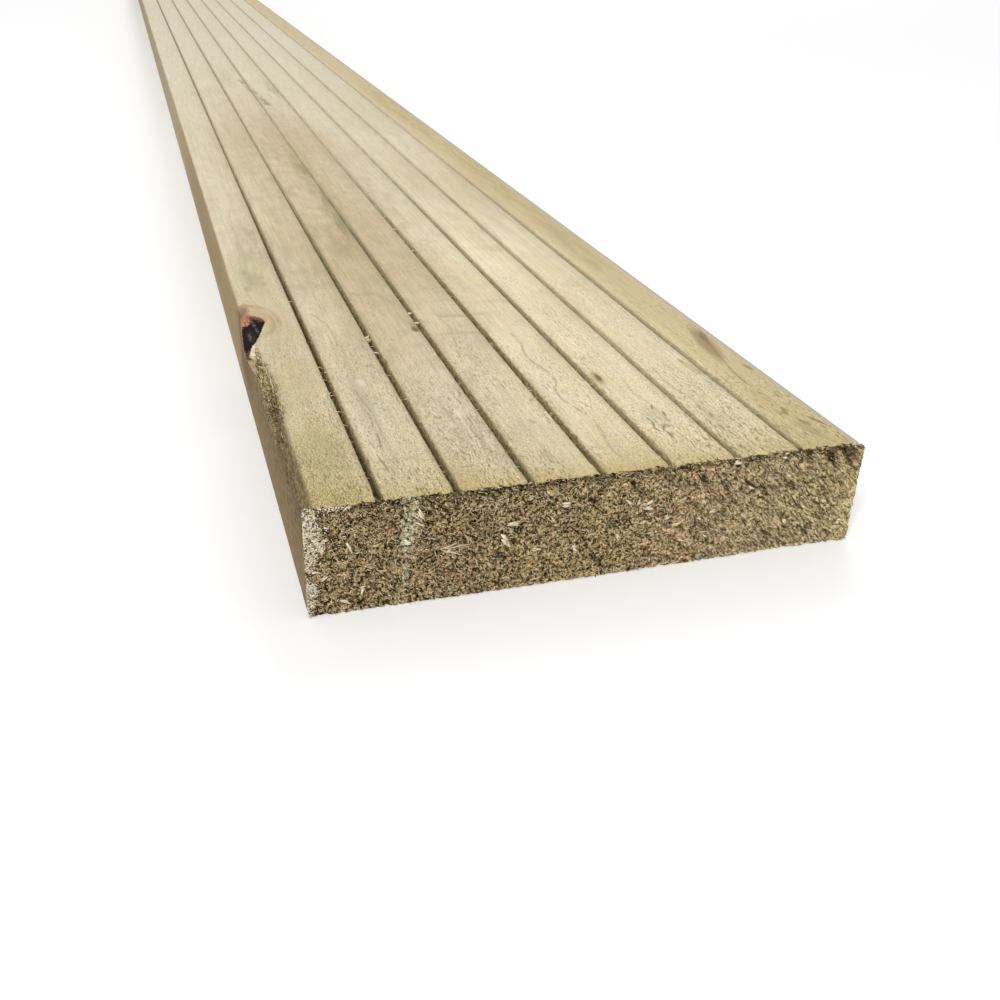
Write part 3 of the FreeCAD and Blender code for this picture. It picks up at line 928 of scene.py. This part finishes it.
def knot_colour(g, colour):
    """The pit: black with painted highlights on a bluish and a brownish facet, an orange rim above and a pink one
    beyond.
    """
    char = g.attribute("char")
    torn_rim = g.noise((0.5, 0.9, 0.9), 2, 0.6, offset=(2, 7, 5))
    rim = g.math("MULTIPLY_ADD", torn_rim, 0.5, g.math("SUBTRACT", char, 0.25))
    ring = g.times(g.fade(rim, 0.10, 0.36), g.fade(char, 0.74, 0.56))
    colour = g.mix(g.times(ring, g.fade(g.along, 99, 106), 0.75), colour, (0.50, 0.27, 0.19))
    shreds = g.noise((1.1, 1.3, 1.1), 2, 0.65, offset=(3, 8, 1))
    leaning = g.math("MULTIPLY_ADD", g.z, 0.44, g.right)
    # Painted highlights: a bluish and a brownish glint on the pit's far wall
    blue_glint = g.times(g.wall_spot(leaning, g.z, *BLUE_GLINT), g.fade(shreds, 0.38, 0.58))
    soot = g.mix(blue_glint, (0.007, 0.005, 0.005), (0.12, 0.125, 0.145))
    brown = g.times(g.wall_spot(g.right, g.z, *BROWN_GLINT, edge=0.7), g.fade(shreds, 0.62, 0.42))
    soot = g.mix(brown, soot, (0.12, 0.085, 0.075))
    shredded_along = g.math("MULTIPLY_ADD", shreds, 8, g.along)
    shredded_up = g.math("MULTIPLY_ADD", shreds, 3.5, g.z)
    soot = g.mix(g.fade(shredded_along, 109.5, 106), soot, (0.165, 0.085, 0.038))
    soot = g.mix(g.fade(shredded_up, 16.9, 15.9), soot, (0.165, 0.085, 0.038))
    lip_side = g.math("MULTIPLY_ADD", g.z, -0.9, g.right)
    bared = g.math("MULTIPLY_ADD", shreds, 1.2, lip_side)
    soot = g.mix(g.times(g.fade(bared, -71.3, -70.8), g.fade(g.z, 18.2, 17.2)), soot, (0.74, 0.64, 0.48))
    soot = g.mix(g.fade(shredded_along, 106, 102), soot, (0.50, 0.38, 0.23))
    upper_rim = g.times(g.fade(shredded_up, 24.1, 24.9), g.fade(g.right, -58, -56.6))
    soot = g.mix(g.times(upper_rim, 0.85), soot, (0.25, 0.14, 0.08))
    spread = g.math("MULTIPLY_ADD", g.math("SUBTRACT", shreds, 0.5), 3.0, g.z)
    orange = g.times(g.wall_spot(g.right, spread, -59.4, 23.0, 1.9, 2.2, edge=0.25), g.fade(g.along, 105, 107))
    soot = g.mix(orange, soot, g.mix(g.fade(shreds, 0.40, 0.60), (0.40, 0.15, 0.075), (0.62, 0.31, 0.185)))
    mouth = g.math("MULTIPLY_ADD", torn_rim, 0.34, g.math("SUBTRACT", char, 0.17))
    bite = g.math("SUBTRACT", 1, g.spot(100.3, -55.0, 1.6, 0.7, 14, edge=0.4))
    return g.mix(g.times(g.fade(mouth, 0.46, 0.58), g.fade(g.along, 76, 84), bite), colour, soot)


def planed_wood():
    g = Graph("planed_softwood")
    figure = Figure(g)
    colour = planed_ground(g, figure)
    colour = near_ends_ochre(g, colour)
    colour = raised_grain(g, figure, colour)
    colour = marks_painted(g, figure, colour)
    colour = knot_grain(g, figure, colour)
    colour = side_colour(g, figure, colour)
    colour = groove_colour(g, figure, colour)
    colour, torn, strands = torn_colour(g, colour)
    colour = knot_colour(g, colour)
    near = g.decay(g.along, 90)
    height = g.math("ADD", g.times(figure.fine_streak, 0.5), g.times(figure.dashes, near, -0.8))
    height = g.math("ADD", height, g.times(figure.speckle, near, -0.6))
    height = g.math("ADD", height, g.times(strands, torn, 3.0))
    height = g.math("ADD", height, g.times(figure.late, 0.25))
    roughness = g.fade(figure.streak, 0.3, 0.7, 0.72, 0.86)
    return g.finish(colour, roughness, height, 0.12)


def mint_mask(g):
    """The broken whitish-green trace down the near end, leaning to the left below."""
    lean = g.math("MULTIPLY_ADD", g.z, 0.08, -39.2 - 0.08 * THICKNESS)
    off = g.math("ABSOLUTE", g.math("SUBTRACT", g.right, lean))
    blots = g.noise((0.0, 1.5, 1.1), 2, 0.6, offset=(3, 3, 3))
    reach = g.fade(g.z, 8, 20, 0.9, 1.9)
    return g.times(g.fade(g.math("DIVIDE", off, reach), 1.4, 0.3), g.fade(g.along, 20, 10),
                   g.fade(blots, 0.46, 0.55), g.fade(g.z, 2, 14, 0.45, 1.0))


def sawn_wood():
    g = Graph("sawn_end_grain")
    near = g.fade(g.along, 20, 10)
    depth = g.attribute("cavity")
    radius = g.vector("LENGTH", g.join(0.0, g.math("SUBTRACT", g.left, 12), g.math("ADD", g.z, 55)), output="Value")
    wobble = g.times(g.noise((0, 0.10, 0.10), 2), 3.0)
    rings = g.math("FRACT", g.math("DIVIDE", g.math("ADD", radius, wobble), 3.3))
    late = g.times(g.fade(rings, 0.45, 0.9), g.fade(rings, 1.0, 0.93))

    coarse = g.noise((0.2, 0.30, 0.42), 2, 0.6, offset=(1, 4, 2))
    speck = g.noise((0.8, 1.6, 1.9), 2, 0.65, offset=(4, 2, 7))
    fine = g.noise((1.5, 3.0, 3.4), 2, 0.7, offset=(6, 1, 3))
    cut_across = g.vector("DOT_PRODUCT", g.place, (0, -0.74, 0.67), output="Value")
    cut_along = g.vector("DOT_PRODUCT", g.place, (0, -0.67, -0.74), output="Value")
    slanted = g.noise((0, 1.7, 0.42), 2, 0.65, place=g.join(0.0, cut_across, cut_along))
    to_right = g.times(g.fade(g.right, 0, 40), near)
    colour = g.mix(g.fade(coarse, 0.35, 0.65), (0.32, 0.225, 0.10), (0.47, 0.345, 0.17))
    redder = g.times(g.fade(g.right, -5, -30), g.fade(g.noise((0.1, 0.12, 0.15), 1, offset=(8, 8, 8)), 0.45, 0.62))
    colour = g.mix(g.times(redder, 0.45), colour, (0.38, 0.235, 0.12))
    pinker = g.times(g.fade(g.right, 4, 14), g.fade(g.right, 50, 34), g.fade(coarse, 0.38, 0.58))
    colour = g.mix(g.times(pinker, 0.75), colour, (0.53, 0.36, 0.22))
    yellower = g.times(g.fade(g.right, 18, 42), g.fade(coarse, 0.62, 0.42, 0.35, 1.0))
    colour = g.mix(g.times(yellower, 0.80), colour, (0.57, 0.48, 0.25))
    colour = g.mix(g.times(late, 0.30), colour, (0.25, 0.17, 0.085))
    grit = g.math("ADD", g.times(speck, g.fade(g.right, 0, 40, 1.0, 0.35)), g.times(slanted, g.fade(g.right, 0, 40, 0.0, 0.65)))
    colour = g.scale(colour, g.fade(grit, 0.41, 0.60, g.fade(g.right, 0, 42, 0.12, 0.45), 1.55))
    colour = g.scale(colour, g.fade(fine, 0.36, 0.64, g.fade(g.right, 0, 42, 0.48, 0.80), 1.30))
    colour = g.scale(colour, g.fade(g.math("ABSOLUTE", g.math("SUBTRACT", g.right, 2)), 28, 10, 1.0, 1.14))

    # Painted shade: darker where the sawn face lies deeper, and in the torn hollows
    colour = g.darken(colour, g.fade(depth, 0.7, 1.6), near, g.fade(to_right, 0, 1, 0.86, 0.55))
    colour = g.darken(colour, g.attribute("hollow"), near, 0.80)
    # Painted shade in a ragged band under the top edge
    top_edge_shade = g.times(g.fade(g.z, THICKNESS - 2.2, THICKNESS - 0.8), near,
                     g.fade(g.noise((0, 0.6, 0.5), 1, offset=(1, 2, 3)), 0.36, 0.54))
    colour = g.darken(colour, top_edge_shade, 0.80)
    whitish = g.mix(g.fade(speck, 0.46, 0.56), (0.07, 0.055, 0.040), (0.80, 0.73, 0.67))
    colour = g.mix(g.times(g.attribute("clump"), near, 0.92), colour, whitish)
    colour = g.mix(g.times(mint_mask(g), 0.8), colour, (0.72, 0.74, 0.52))

    height = g.math("ADD", g.times(fine, 0.6), g.times(speck, 0.9))
    return g.finish(colour, 0.90, height, 0.40, specular=0.08)


def fibre_wood():
    """Slivers and fuzz: from dark brown to nearly white by each fibre's own shade."""
    g = Graph("wood_fibres")
    shade = g.attribute("shade")
    tone = g.noise((0.15, 0.2, 0.2), 2, 0.6, offset=(5, 5, 5))
    colour = g.mix(g.fade(shade, 0.0, 0.35), (0.030, 0.019, 0.008), (0.27, 0.19, 0.08))
    rightward = g.times(g.fade(g.right, 5, 42), g.fade(g.along, 20, 10))
    brown = g.mix(g.fade(tone, 0.4, 0.6), (0.57, 0.42, 0.205), (0.54, 0.45, 0.24))
    brown = g.mix(rightward, brown, g.mix(g.fade(tone, 0.42, 0.58), (0.66, 0.46, 0.27), (0.66, 0.55, 0.28)))
    colour = g.mix(g.fade(shade, 0.30, 0.62), colour, brown)
    colour = g.mix(g.fade(shade, 0.62, 0.82), colour, (0.86, 0.73, 0.50))
    colour = g.mix(g.fade(shade, 0.86, 1.0), colour, (0.90, 0.82, 0.68))
    grain = g.noise((1.2, 2.5, 2.5), 2, 0.6)
    colour = g.scale(colour, g.fade(grain, 0.3, 0.7, 0.82, 1.10))
    colour = g.mix(g.times(mint_mask(g), g.fade(shade, 0.1, 0.4), 0.9), colour, (0.84, 0.87, 0.64))
    return g.finish(colour, 0.88, grain, 0.06, specular=0.1)


timber.data.materials.append(planed_wood())
timber.data.materials.append(sawn_wood())


# Fibres: fuzz, slivers and chips, each a bent three-sided sliver that tapers to a point

RING_AT = (0.0, 0.38, 0.74)
FIBRE_WIDTHS = (1.0, 0.85, 0.5)
CHIP_WIDTHS = (0.30, 1.0, 0.75)
TURN = (90.0, 210.0, 330.0)


def unit(v):
    return v / np.maximum(np.linalg.norm(v, axis=-1, keepdims=True), 1e-9)


def slivers(name, rng, root, direction, size, half_width, shade, curl=0.25, flat=0.6, face=None,
            ring_widths=FIBRE_WIDTHS):
    """One object of many slivers. face is the way that a flat one's broad side looks."""
    count = len(root)
    direction = unit(direction)
    side = unit(np.cross(direction, rng.normal(size=(count, 3)) if face is None else face))
    over = unit(np.cross(direction, side))
    bend = side * rng.normal(size=(count, 1)) * curl + over * rng.normal(size=(count, 1)) * curl * 0.5
    size, half_width = np.asarray(size)[:, None], np.asarray(half_width)[:, None]
    rings = []
    for at, width in zip(RING_AT, ring_widths):
        centre = root + (direction * at + bend * at * at) * size
        for turn in TURN:
            c, s = math.cos(math.radians(turn)), math.sin(math.radians(turn))
            rings.append(centre + (side * s + over * c * flat) * half_width * width)
    rings.append(root + (direction + bend) * size)
    points = np.stack(rings, 1)
    low = np.array([0.02, -EDGE + 0.02, 0.02])
    high = np.array([LENGTH - 0.02, EDGE - 0.02, THICKNESS - 0.02])
    points += np.maximum(low - points.min(1), 0)[:, None] - np.maximum(points.max(1) - high, 0)[:, None]
    pattern = [(0, 2, 1)]
    for r in (0, 3):
        for k in range(3):
            a, b = r + k, r + (k + 1) % 3
            pattern += [(a, b, b + 3), (a, b + 3, a + 3)]
    pattern += [(6 + k, 6 + (k + 1) % 3, 9) for k in range(3)]
    faces = (np.arange(count)[:, None, None] * 10 + np.array(pattern)[None]).reshape(-1, 3)
    obj = make_mesh(name, points.reshape(-1, 3), faces.tolist(), {"shade": np.repeat(shade, 10)})
    obj.data.materials.append(FIBRE_WOOD)
    return obj


FIBRE_WOOD = fibre_wood()


def spread_over_end(rng, count):
    """Random places on the section, clear of the grooves."""
    right = rng.uniform(-EDGE + 0.3, EDGE - 0.3, count)
    z = rng.uniform(0.3, THICKNESS - 0.3, count)
    offset = np.abs((right + GROOVE_PITCH / 2) % GROOVE_PITCH - GROOVE_PITCH / 2)
    keep = (offset > GROOVE_HALF) | (z < FLOOR_OF_GROOVE + 1.2) | (np.abs(right) > 50)
    return right[keep], z[keep]


def into_groove(right, z):
    """Which places on the section fall in a groove's slot."""
    offset = np.abs((right + GROOVE_PITCH / 2) % GROOVE_PITCH - GROOVE_PITCH / 2)
    return (offset < GROOVE_HALF) & (z > FLOOR_OF_GROOVE) & (np.abs(right) < 50)


def near_end_fuzz(name, seed, broad, thin, clogging, length, widths):
    """Broad torn fibres and thin curly ones. They also clog the ends of the grooves."""
    rng = np.random.default_rng(seed)
    count = broad + thin + GROOVE_COUNT * clogging
    right = rng.uniform(-EDGE + 0.3, EDGE - 0.3, count)
    z = rng.uniform(0.3, THICKNESS - 0.3, count)
    plug = np.arange(count) >= broad + thin
    centre = (np.arange(count) % GROOVE_COUNT - (GROOVE_COUNT - 1) / 2) * GROOVE_PITCH
    right = np.where(plug, centre + rng.uniform(-0.8, 0.8, count), right)
    z = np.where(plug, FLOOR_OF_GROOVE + rng.uniform(0, 2.9, count), z)
    slot = into_groove(right, z)
    depth = near_end_relief(right, z) + 0.06 + slot * rng.uniform(0.1, 1.6, count)
    z = np.where(slot, np.minimum(z, THICKNESS - 0.9), z)
    root = np.stack([depth, -right, z], 1)
    to_right = smooth(0, 38, right)
    slanted = rng.random(count) < 0.5 + 0.45 * to_right
    angle = np.where(slanted, -0.80 + rng.normal(0, 0.40, count) * (1 - 0.5 * to_right), rng.uniform(0, math.pi, count))
    angle += math.pi * (rng.random(count) < 0.5)
    is_thin = (np.arange(count) >= broad) & ~plug
    lift = -np.where(is_thin, rng.uniform(0.2, 0.9, count), rng.uniform(0.1, 0.6, count))
    lift = lift * (1 - 0.5 * to_right)
    direction = np.stack([lift, -np.cos(angle), np.sin(angle)], 1)
    size = np.where(is_thin, rng.lognormal(0.15, 0.40, count), rng.lognormal(math.log(length), 0.34, count))
    size = size * (1 + 0.15 * to_right)
    half_width = np.where(is_thin, rng.uniform(0.05, 0.10, count), rng.uniform(*widths, count))
    kind = rng.random(count) + 0.04 + 0.14 * to_right
    shade = np.select([kind < 0.36, kind < 0.68], [rng.uniform(0.0, 0.16, count), rng.uniform(0.30, 0.60, count)],
                      rng.uniform(0.68, 0.95, count))
    shade = np.where(is_thin, rng.uniform(0.60, 1.0, count), shade)
    # Painted shade on the fibres: darker in the torn hollows and under the top edge
    shade *= 1 - 0.8 * hollows(right, z) * (rng.random(count) < 0.85)
    shade *= 1 - 0.6 * smooth(22.4, 23.5, z) * (rng.random(count) < 0.7)
    half_width = half_width * (1 + 0.25 * to_right)
    curl = 0.25 * (1 - 0.7 * to_right)
    kept = (rng.random(count) > 0.8 * clump(right, z)) | plug
    kept &= ~is_thin | (rng.random(count) > 0.75 * to_right)
    root, direction, size, half_width, shade, curl = (v[kept] for v in (root, direction, size, half_width, shade, curl))
    return slivers(name, rng, root, direction, size, half_width, np.clip(shade, 0, 1), curl=curl[:, None])


def pale_edge_fuzz():
    """The whitish clump of fibres down the near end's left edge."""
    rng = np.random.default_rng(22)
    count = 7000
    z = rng.uniform(0.4, THICKNESS - 0.2, count)
    right = -EDGE + 0.1 + rng.uniform(0, 6, count)
    strays = rng.random(count) < 0.010
    right = np.where(strays, -EDGE + rng.uniform(3, 9, count), right)
    z = np.where(strays, THICKNESS - rng.uniform(0.1, 0.9, count), z)
    keep = (rng.random(count) < clump(right, z)) | strays
    right, z = right[keep], z[keep]
    count = len(z)
    depth = np.minimum(near_end_relief(right, z), np.abs(rng.normal(0, 0.6, count)) + 0.1)
    root = np.stack([depth, -right, z], 1)
    angle = rng.uniform(0, 2 * math.pi, count)
    direction = np.stack([rng.uniform(-0.9, 0.3, count), np.cos(angle), np.sin(angle)], 1)
    lumps = noise(right / 0.9, z / 0.8, 21.0)
    # Fewer pale fibres where the lumps lie deeper: painted shade in the dips of the clump
    pale = rng.random(count) < 0.78 - 1.3 * np.clip(lumps, 0, 1)
    shade = np.where(pale, rng.uniform(0.86, 1.0, count), rng.uniform(0.0, 0.35, count))
    return slivers("pale_edge_fuzz", rng, root, direction, rng.lognormal(-0.50, 0.35, count),
                   rng.uniform(0.12, 0.26, count), shade, curl=0.4, flat=0.8)


def top_fringe():
    """Fibres that the saw left standing along the near end's top edge and groove mouths."""
    rng = np.random.default_rng(23)
    count = 1500
    right = rng.uniform(-EDGE + 0.5, EDGE - 0.5, count)
    slot = into_groove(right, THICKNESS)
    z = THICKNESS - np.where(slot, rng.uniform(1.0, 3.3, count), rng.uniform(0.1, 1.4, count))
    root = np.stack([near_end_relief(right, z) + rng.uniform(0, 0.5, count), -right, z], 1)
    angle = rng.uniform(-0.3, math.pi + 0.3, count)
    direction = np.stack([-rng.uniform(0.1, 0.8, count), np.cos(angle), np.sin(angle) * 0.7], 1)
    # Most are dark: painted shade of the fringe under the top edge
    shade = np.where(rng.random(count) < 0.62, rng.uniform(0, 0.28, count), rng.uniform(0.5, 0.95, count))
    return slivers("top_fringe", rng, root, direction, rng.lognormal(-0.25, 0.35, count),
                   rng.uniform(0.07, 0.16, count), shade)


def far_end_fuzz():
    rng = np.random.default_rng(24)
    right, z = spread_over_end(rng, 2600)
    count = len(right)
    root = np.stack([LENGTH - far_end_relief(right, z) - 0.05, -right, z], 1)
    angle = rng.uniform(0, 2 * math.pi, count)
    direction = np.stack([rng.uniform(0.05, 0.6, count), np.cos(angle), np.sin(angle)], 1)
    shade = np.clip(rng.normal(0.5, 0.18, count), 0, 1)
    return slivers("far_end_fuzz", rng, root, direction, rng.lognormal(-0.3, 0.35, count),
                   rng.uniform(0.05, 0.11, count), shade)


def torn_fibres():
    """Fibres raised from the torn arris: they keep to the grain and lean outward."""
    rng = np.random.default_rng(25)
    mesh = timber.data
    co = np.empty(len(mesh.vertices) * 3, "f")
    mesh.vertices.foreach_get("co", co)
    co = co.reshape(-1, 3) * 1000 + (LENGTH / 2, 0, 0)
    torn = np.empty(len(mesh.vertices), "f")
    mesh.attributes["torn"].data.foreach_get("value", torn)
    char = np.empty(len(mesh.vertices), "f")
    mesh.attributes["char"].data.foreach_get("value", char)
    along = co[:, 0]
    weight = (torn > 0.35) * (char < 0.3) * smooth(28, 44, along) * (1 - 0.7 * smooth(74, 88, along))
    count = 1000
    chosen = rng.choice(len(weight), count, p=weight / weight.sum())
    root = co[chosen] + rng.normal(0, 0.12, (count, 3))
    outward = np.clip((co[chosen][:, 1:] - (EDGE - 5, THICKNESS - 5)) / 5, 0, 1)
    sign = np.where(rng.random(count) < 0.75, -1, 1)
    direction = np.stack([sign * rng.uniform(0.5, 1.0, count),
                          outward[:, 0] * 0.5 + rng.normal(0, 0.25, count),
                          outward[:, 1] * 0.6 + rng.normal(0, 0.25, count)], 1)
    patches = noise(root[:, 0] / 5.0, root[:, 1] / 1.6, 3.3) + 0.35 * noise(root[:, 0] / 1.6, root[:, 1] / 0.8, 5.1)
    shade = np.clip(0.34 + 0.55 * patches + rng.normal(0, 0.16, count) + 0.4 * (rng.random(count) < 0.14), 0, 1)
    return slivers("torn_fibres", rng, root, direction, rng.lognormal(0.0, 0.45, count),
                   rng.uniform(0.06, 0.13, count), shade, curl=0.35)


# Splinters across the grooves: along, the groove's number from the left, length, half width
GROOVE_SPLINTERS = [
    (61, 2, 1.5, 0.14), (36, 1, 1.2, 0.12), (52, 1, 1.3, 0.16), (76.7, 2, 1.7, 0.30), (81, 2, 1.4, 0.16),
    (86.0, 2, 2.2, 0.75), (87.6, 2, 2.0, 0.55), (96, 3, 1.5, 0.5), (103.5, 3, 1.6, 0.6), (27, 1, 1.0, 0.12),
    (70, 1, 1.6, 0.2), (66, 1, 1.2, 0.14), (15, 4, 1.2, 0.12), (31, 4, 1.4, 0.14), (45, 5, 1.3, 0.14),
    (190, 4, 2.0, 0.4), (206, 4, 1.8, 0.3), (163, 4, 1.6, 0.3), (120, 1, 1.6, 0.2), (135, 3, 1.5, 0.2),
    (250, 5, 2.0, 0.3), (22, 6, 1.2, 0.12), (62, 1, 1.3, 0.18), (43, 1, 1.1, 0.14),
]


def lip_splinters():
    rng = np.random.default_rng(26)
    count = 260
    chosen = len(GROOVE_SPLINTERS)
    along = np.concatenate([[s[0] for s in GROOVE_SPLINTERS], rng.exponential(120, count) + 3])
    groove = np.concatenate([[s[1] for s in GROOVE_SPLINTERS], rng.integers(1, 8, count)])
    size = np.concatenate([[s[2] for s in GROOVE_SPLINTERS], rng.uniform(0.3, 0.9, count)])
    half_width = np.concatenate([[s[3] for s in GROOVE_SPLINTERS], rng.uniform(0.06, 0.14, count)])
    along = np.where(along > LENGTH - 5, 40, along)
    count = len(along)
    right = (groove - 4) * GROOVE_PITCH
    side = np.where((rng.random(count) < 0.5) | (np.arange(count) < chosen), -1, 1)
    depth = np.where(np.arange(count) < chosen, 0.12 + half_width * 0.4, rng.uniform(0.05, 0.5, count))
    root = np.stack([along, -(right + side * (GROOVE_HALF + 0.12)), THICKNESS - depth], 1)
    direction = np.stack([rng.normal(0, 0.5, count), side * 1.0, rng.uniform(-0.3, 0.05, count)], 1)
    shade = np.clip(rng.normal(0.70, 0.12, count), 0, 1)
    return slivers("groove_splinters", rng, root, direction, size, half_width, shade)


# Chips on the sawn face: right, z, length, half width, angle, shade
CHIPS = [
    (-51.9, 15.8, 2.8, 0.26, -62, 0.92), (-41.0, 14.6, 2.6, 0.34, -14, 0.92), (-47.0, 14.4, 2.2, 0.16, 4, 0.8),
    (-20.6, 12.8, 3.0, 0.70, -48, 0.94), (-20.0, 15.2, 3.2, 0.22, 2, 0.85), (-33.5, 11.6, 7.0, 0.14, -2, 0.8),
    (-49.4, 3.4, 2.6, 0.26, 78, 0.92), (-49.6, 5.6, 1.2, 0.24, 10, 0.85), (-53.5, 2.9, 2.4, 0.20, -22, 0.85),
    (-32.3, 10.5, 1.8, 0.25, 65, 0.85), (-8.6, 18.1, 2.7, 0.44, 5, 0.93), (-6.0, 8.2, 1.6, 0.32, -30, 0.88),
    (5.2, 17.4, 3.0, 0.16, -42, 0.85), (7.6, 16.0, 1.5, 0.14, 40, 0.85), (9.6, 15.6, 2.2, 0.40, 32, 0.9),
    (16.2, 10.2, 2.0, 0.36, 12, 0.85), (42.8, 7.6, 1.8, 0.40, -60, 0.88), (24.6, 12.0, 1.8, 0.26, 8, 0.82),
    (28.8, 21.6, 1.1, 0.28, -70, 0.72), (34.2, 9.2, 1.4, 0.5, 20, 0.66), (32.0, 4.4, 1.2, 0.4, 10, 0.66),
    (55.2, 3.6, 2.2, 0.6, -20, 0.68), (56.4, 5.4, 1.4, 0.4, -10, 0.95), (9.0, 11.4, 1.2, 0.28, 15, 0.85),
    (28.9, 23.1, 1.5, 0.42, 5, 0.98), (40.2, 23.0, 1.4, 0.36, -24, 0.93),
    (-54.3, 23.6, 1.6, 0.14, 75, 0.8), (-46.2, 9.0, 3.0, 0.12, -35, 0.75), (-28.5, 14.0, 3.2, 0.14, -55, 0.75),
    (-24.0, 7.2, 2.4, 0.13, -50, 0.8), (-14.5, 9.0, 2.2, 0.20, -20, 0.85), (-11.0, 15.8, 2.0, 0.15, -60, 0.8),
    (3.5, 9.5, 1.8, 0.20, -30, 0.85), (9.0, 16.5, 2.0, 0.16, -45, 0.8), (14.2, 12.0, 1.5, 0.22, 15, 0.9),
    (18.0, 6.5, 1.8, 0.15, -35, 0.8), (22.5, 15.0, 1.6, 0.18, -50, 0.8), (27.0, 8.5, 2.0, 0.14, -20, 0.75),
    (33.0, 17.0, 1.7, 0.20, -40, 0.85), (37.0, 9.0, 1.4, 0.16, -60, 0.8), (44.0, 13.5, 2.0, 0.16, -48, 0.8),
    (50.5, 7.0, 1.5, 0.15, -42, 0.75), (54.0, 18.0, 1.6, 0.14, -50, 0.75), (-37.8, 21.0, 2.6, 0.35, -70, 0.9),
    (-38.5, 18.6, 2.2, 0.20, -25, 0.85), (-57.0, 8.0, 2.0, 0.16, 50, 0.9), (-16.0, 20.4, 1.6, 0.16, 20, 0.75),
]


def chips():
    rng = np.random.default_rng(27)
    chip_rows = np.repeat(np.array(CHIPS, float), 4, axis=0)
    right, z, size, half_width, angle, shade = chip_rows.T
    count = len(z)
    right = right + rng.normal(0, 0.45, count) * half_width
    z = z + rng.normal(0, 0.8, count) * half_width
    depth = near_end_relief(right, z) * 0.3 + rng.uniform(0, 0.15, count)
    root = np.stack([depth, -right, z], 1)
    angle = np.radians(angle + rng.normal(0, 9, count))
    direction = np.stack([rng.normal(-0.06, 0.06, count), -np.cos(angle), np.sin(angle)], 1)
    size = size * rng.uniform(0.55, 1.05, count)
    shade = np.clip(shade - rng.uniform(0, 0.10, count), 0, 1)
    return slivers("chips", rng, root, direction, size, half_width * rng.uniform(0.55, 0.95, count) + 0.04, shade,
                   curl=0.12, flat=0.40, face=np.tile([1.0, 0, 0], (count, 1)), ring_widths=CHIP_WIDTHS)


fibre_pieces = [near_end_fuzz("sawn_fuzz", 21, 9000, 1900, 130, 0.68, (0.085, 0.16)),
                near_end_fuzz("sawn_lint", 31, 11500, 300, 60, 0.46, (0.06, 0.11)), pale_edge_fuzz(), top_fringe(), far_end_fuzz(), torn_fibres(),
                lip_splinters(), chips()]


# Floor and light

def build_floor():
    mesh = bpy.data.meshes.new("floor")
    half = 6.0
    mesh.from_pydata([(-half, -half, 0), (half, -half, 0), (half, half, 0), (-half, half, 0)], [], [(0, 1, 2, 3)])
    obj = bpy.data.objects.new("floor", mesh)
    bpy.context.scene.collection.objects.link(obj)
    material = bpy.data.materials.new("pale_floor")
    material.use_nodes = True
    nodes, links = material.node_tree.nodes, material.node_tree.links
    shader = nodes["Principled BSDF"]
    shader.inputs["Roughness"].default_value = 0.9
    shader.inputs["Specular IOR Level"].default_value = 0.0
    rays = nodes.new("ShaderNodeLightPath")
    seen = nodes.new("ShaderNodeMath")
    seen.operation = "MAXIMUM"
    through = nodes.new("ShaderNodeMath")
    through.operation = "MAXIMUM"
    links.new(rays.outputs["Is Camera Ray"], through.inputs[0])
    links.new(rays.outputs["Is Glossy Ray"], through.inputs[1])
    links.new(through.outputs[0], seen.inputs[0])
    links.new(rays.outputs["Is Transmission Ray"], seen.inputs[1])
    paint = nodes.new("ShaderNodeMix")
    paint.data_type = "RGBA"
    paint.inputs[6].default_value = (0.62, 0.62, 0.61, 1)
    paint.inputs[7].default_value = (1, 1, 1, 1)
    links.new(seen.outputs[0], paint.inputs[0])
    links.new(paint.outputs[2], shader.inputs["Base Color"])
    obj.data.materials.append(material)
    return obj


floor = build_floor()
world = bpy.data.worlds.new("studio")
bpy.context.scene.world = world
world.use_nodes = True
world_nodes, world_links = world.node_tree.nodes, world.node_tree.links
world_nodes.clear()
backdrop = world_nodes.new("ShaderNodeBackground")
backdrop.inputs["Strength"].default_value = 0.50
world_out = world_nodes.new("ShaderNodeOutputWorld")
world_links.new(backdrop.outputs[0], world_out.inputs[0])
backdrop.inputs["Color"].default_value = (1, 1, 1, 1)


def area_lamp(name, place, target, size, power):
    data = bpy.data.lights.new(name, "AREA")
    data.shape = "RECTANGLE"
    data.size, data.size_y = size
    data.energy = power
    lamp = bpy.data.objects.new(name, data)
    lamp.location = place
    lamp.rotation_euler = (Vector(target) - Vector(place)).to_track_quat("-Z", "Y").to_euler()
    bpy.context.scene.collection.objects.link(lamp)


area_lamp("key_panel", (-3.6, 1.9, 3.0), (-0.5, 0, 0), (1.5, 1.5), 149)
area_lamp("far_panel", (1.6, -1.2, 2.2), (0.5, 0, 0), (1.6, 1.6), 22)

for piece in [timber, *fibre_pieces]:
    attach(piece, "root")
    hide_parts("decking_board")

bpy.context.scene.view_settings.view_transform = "Standard"
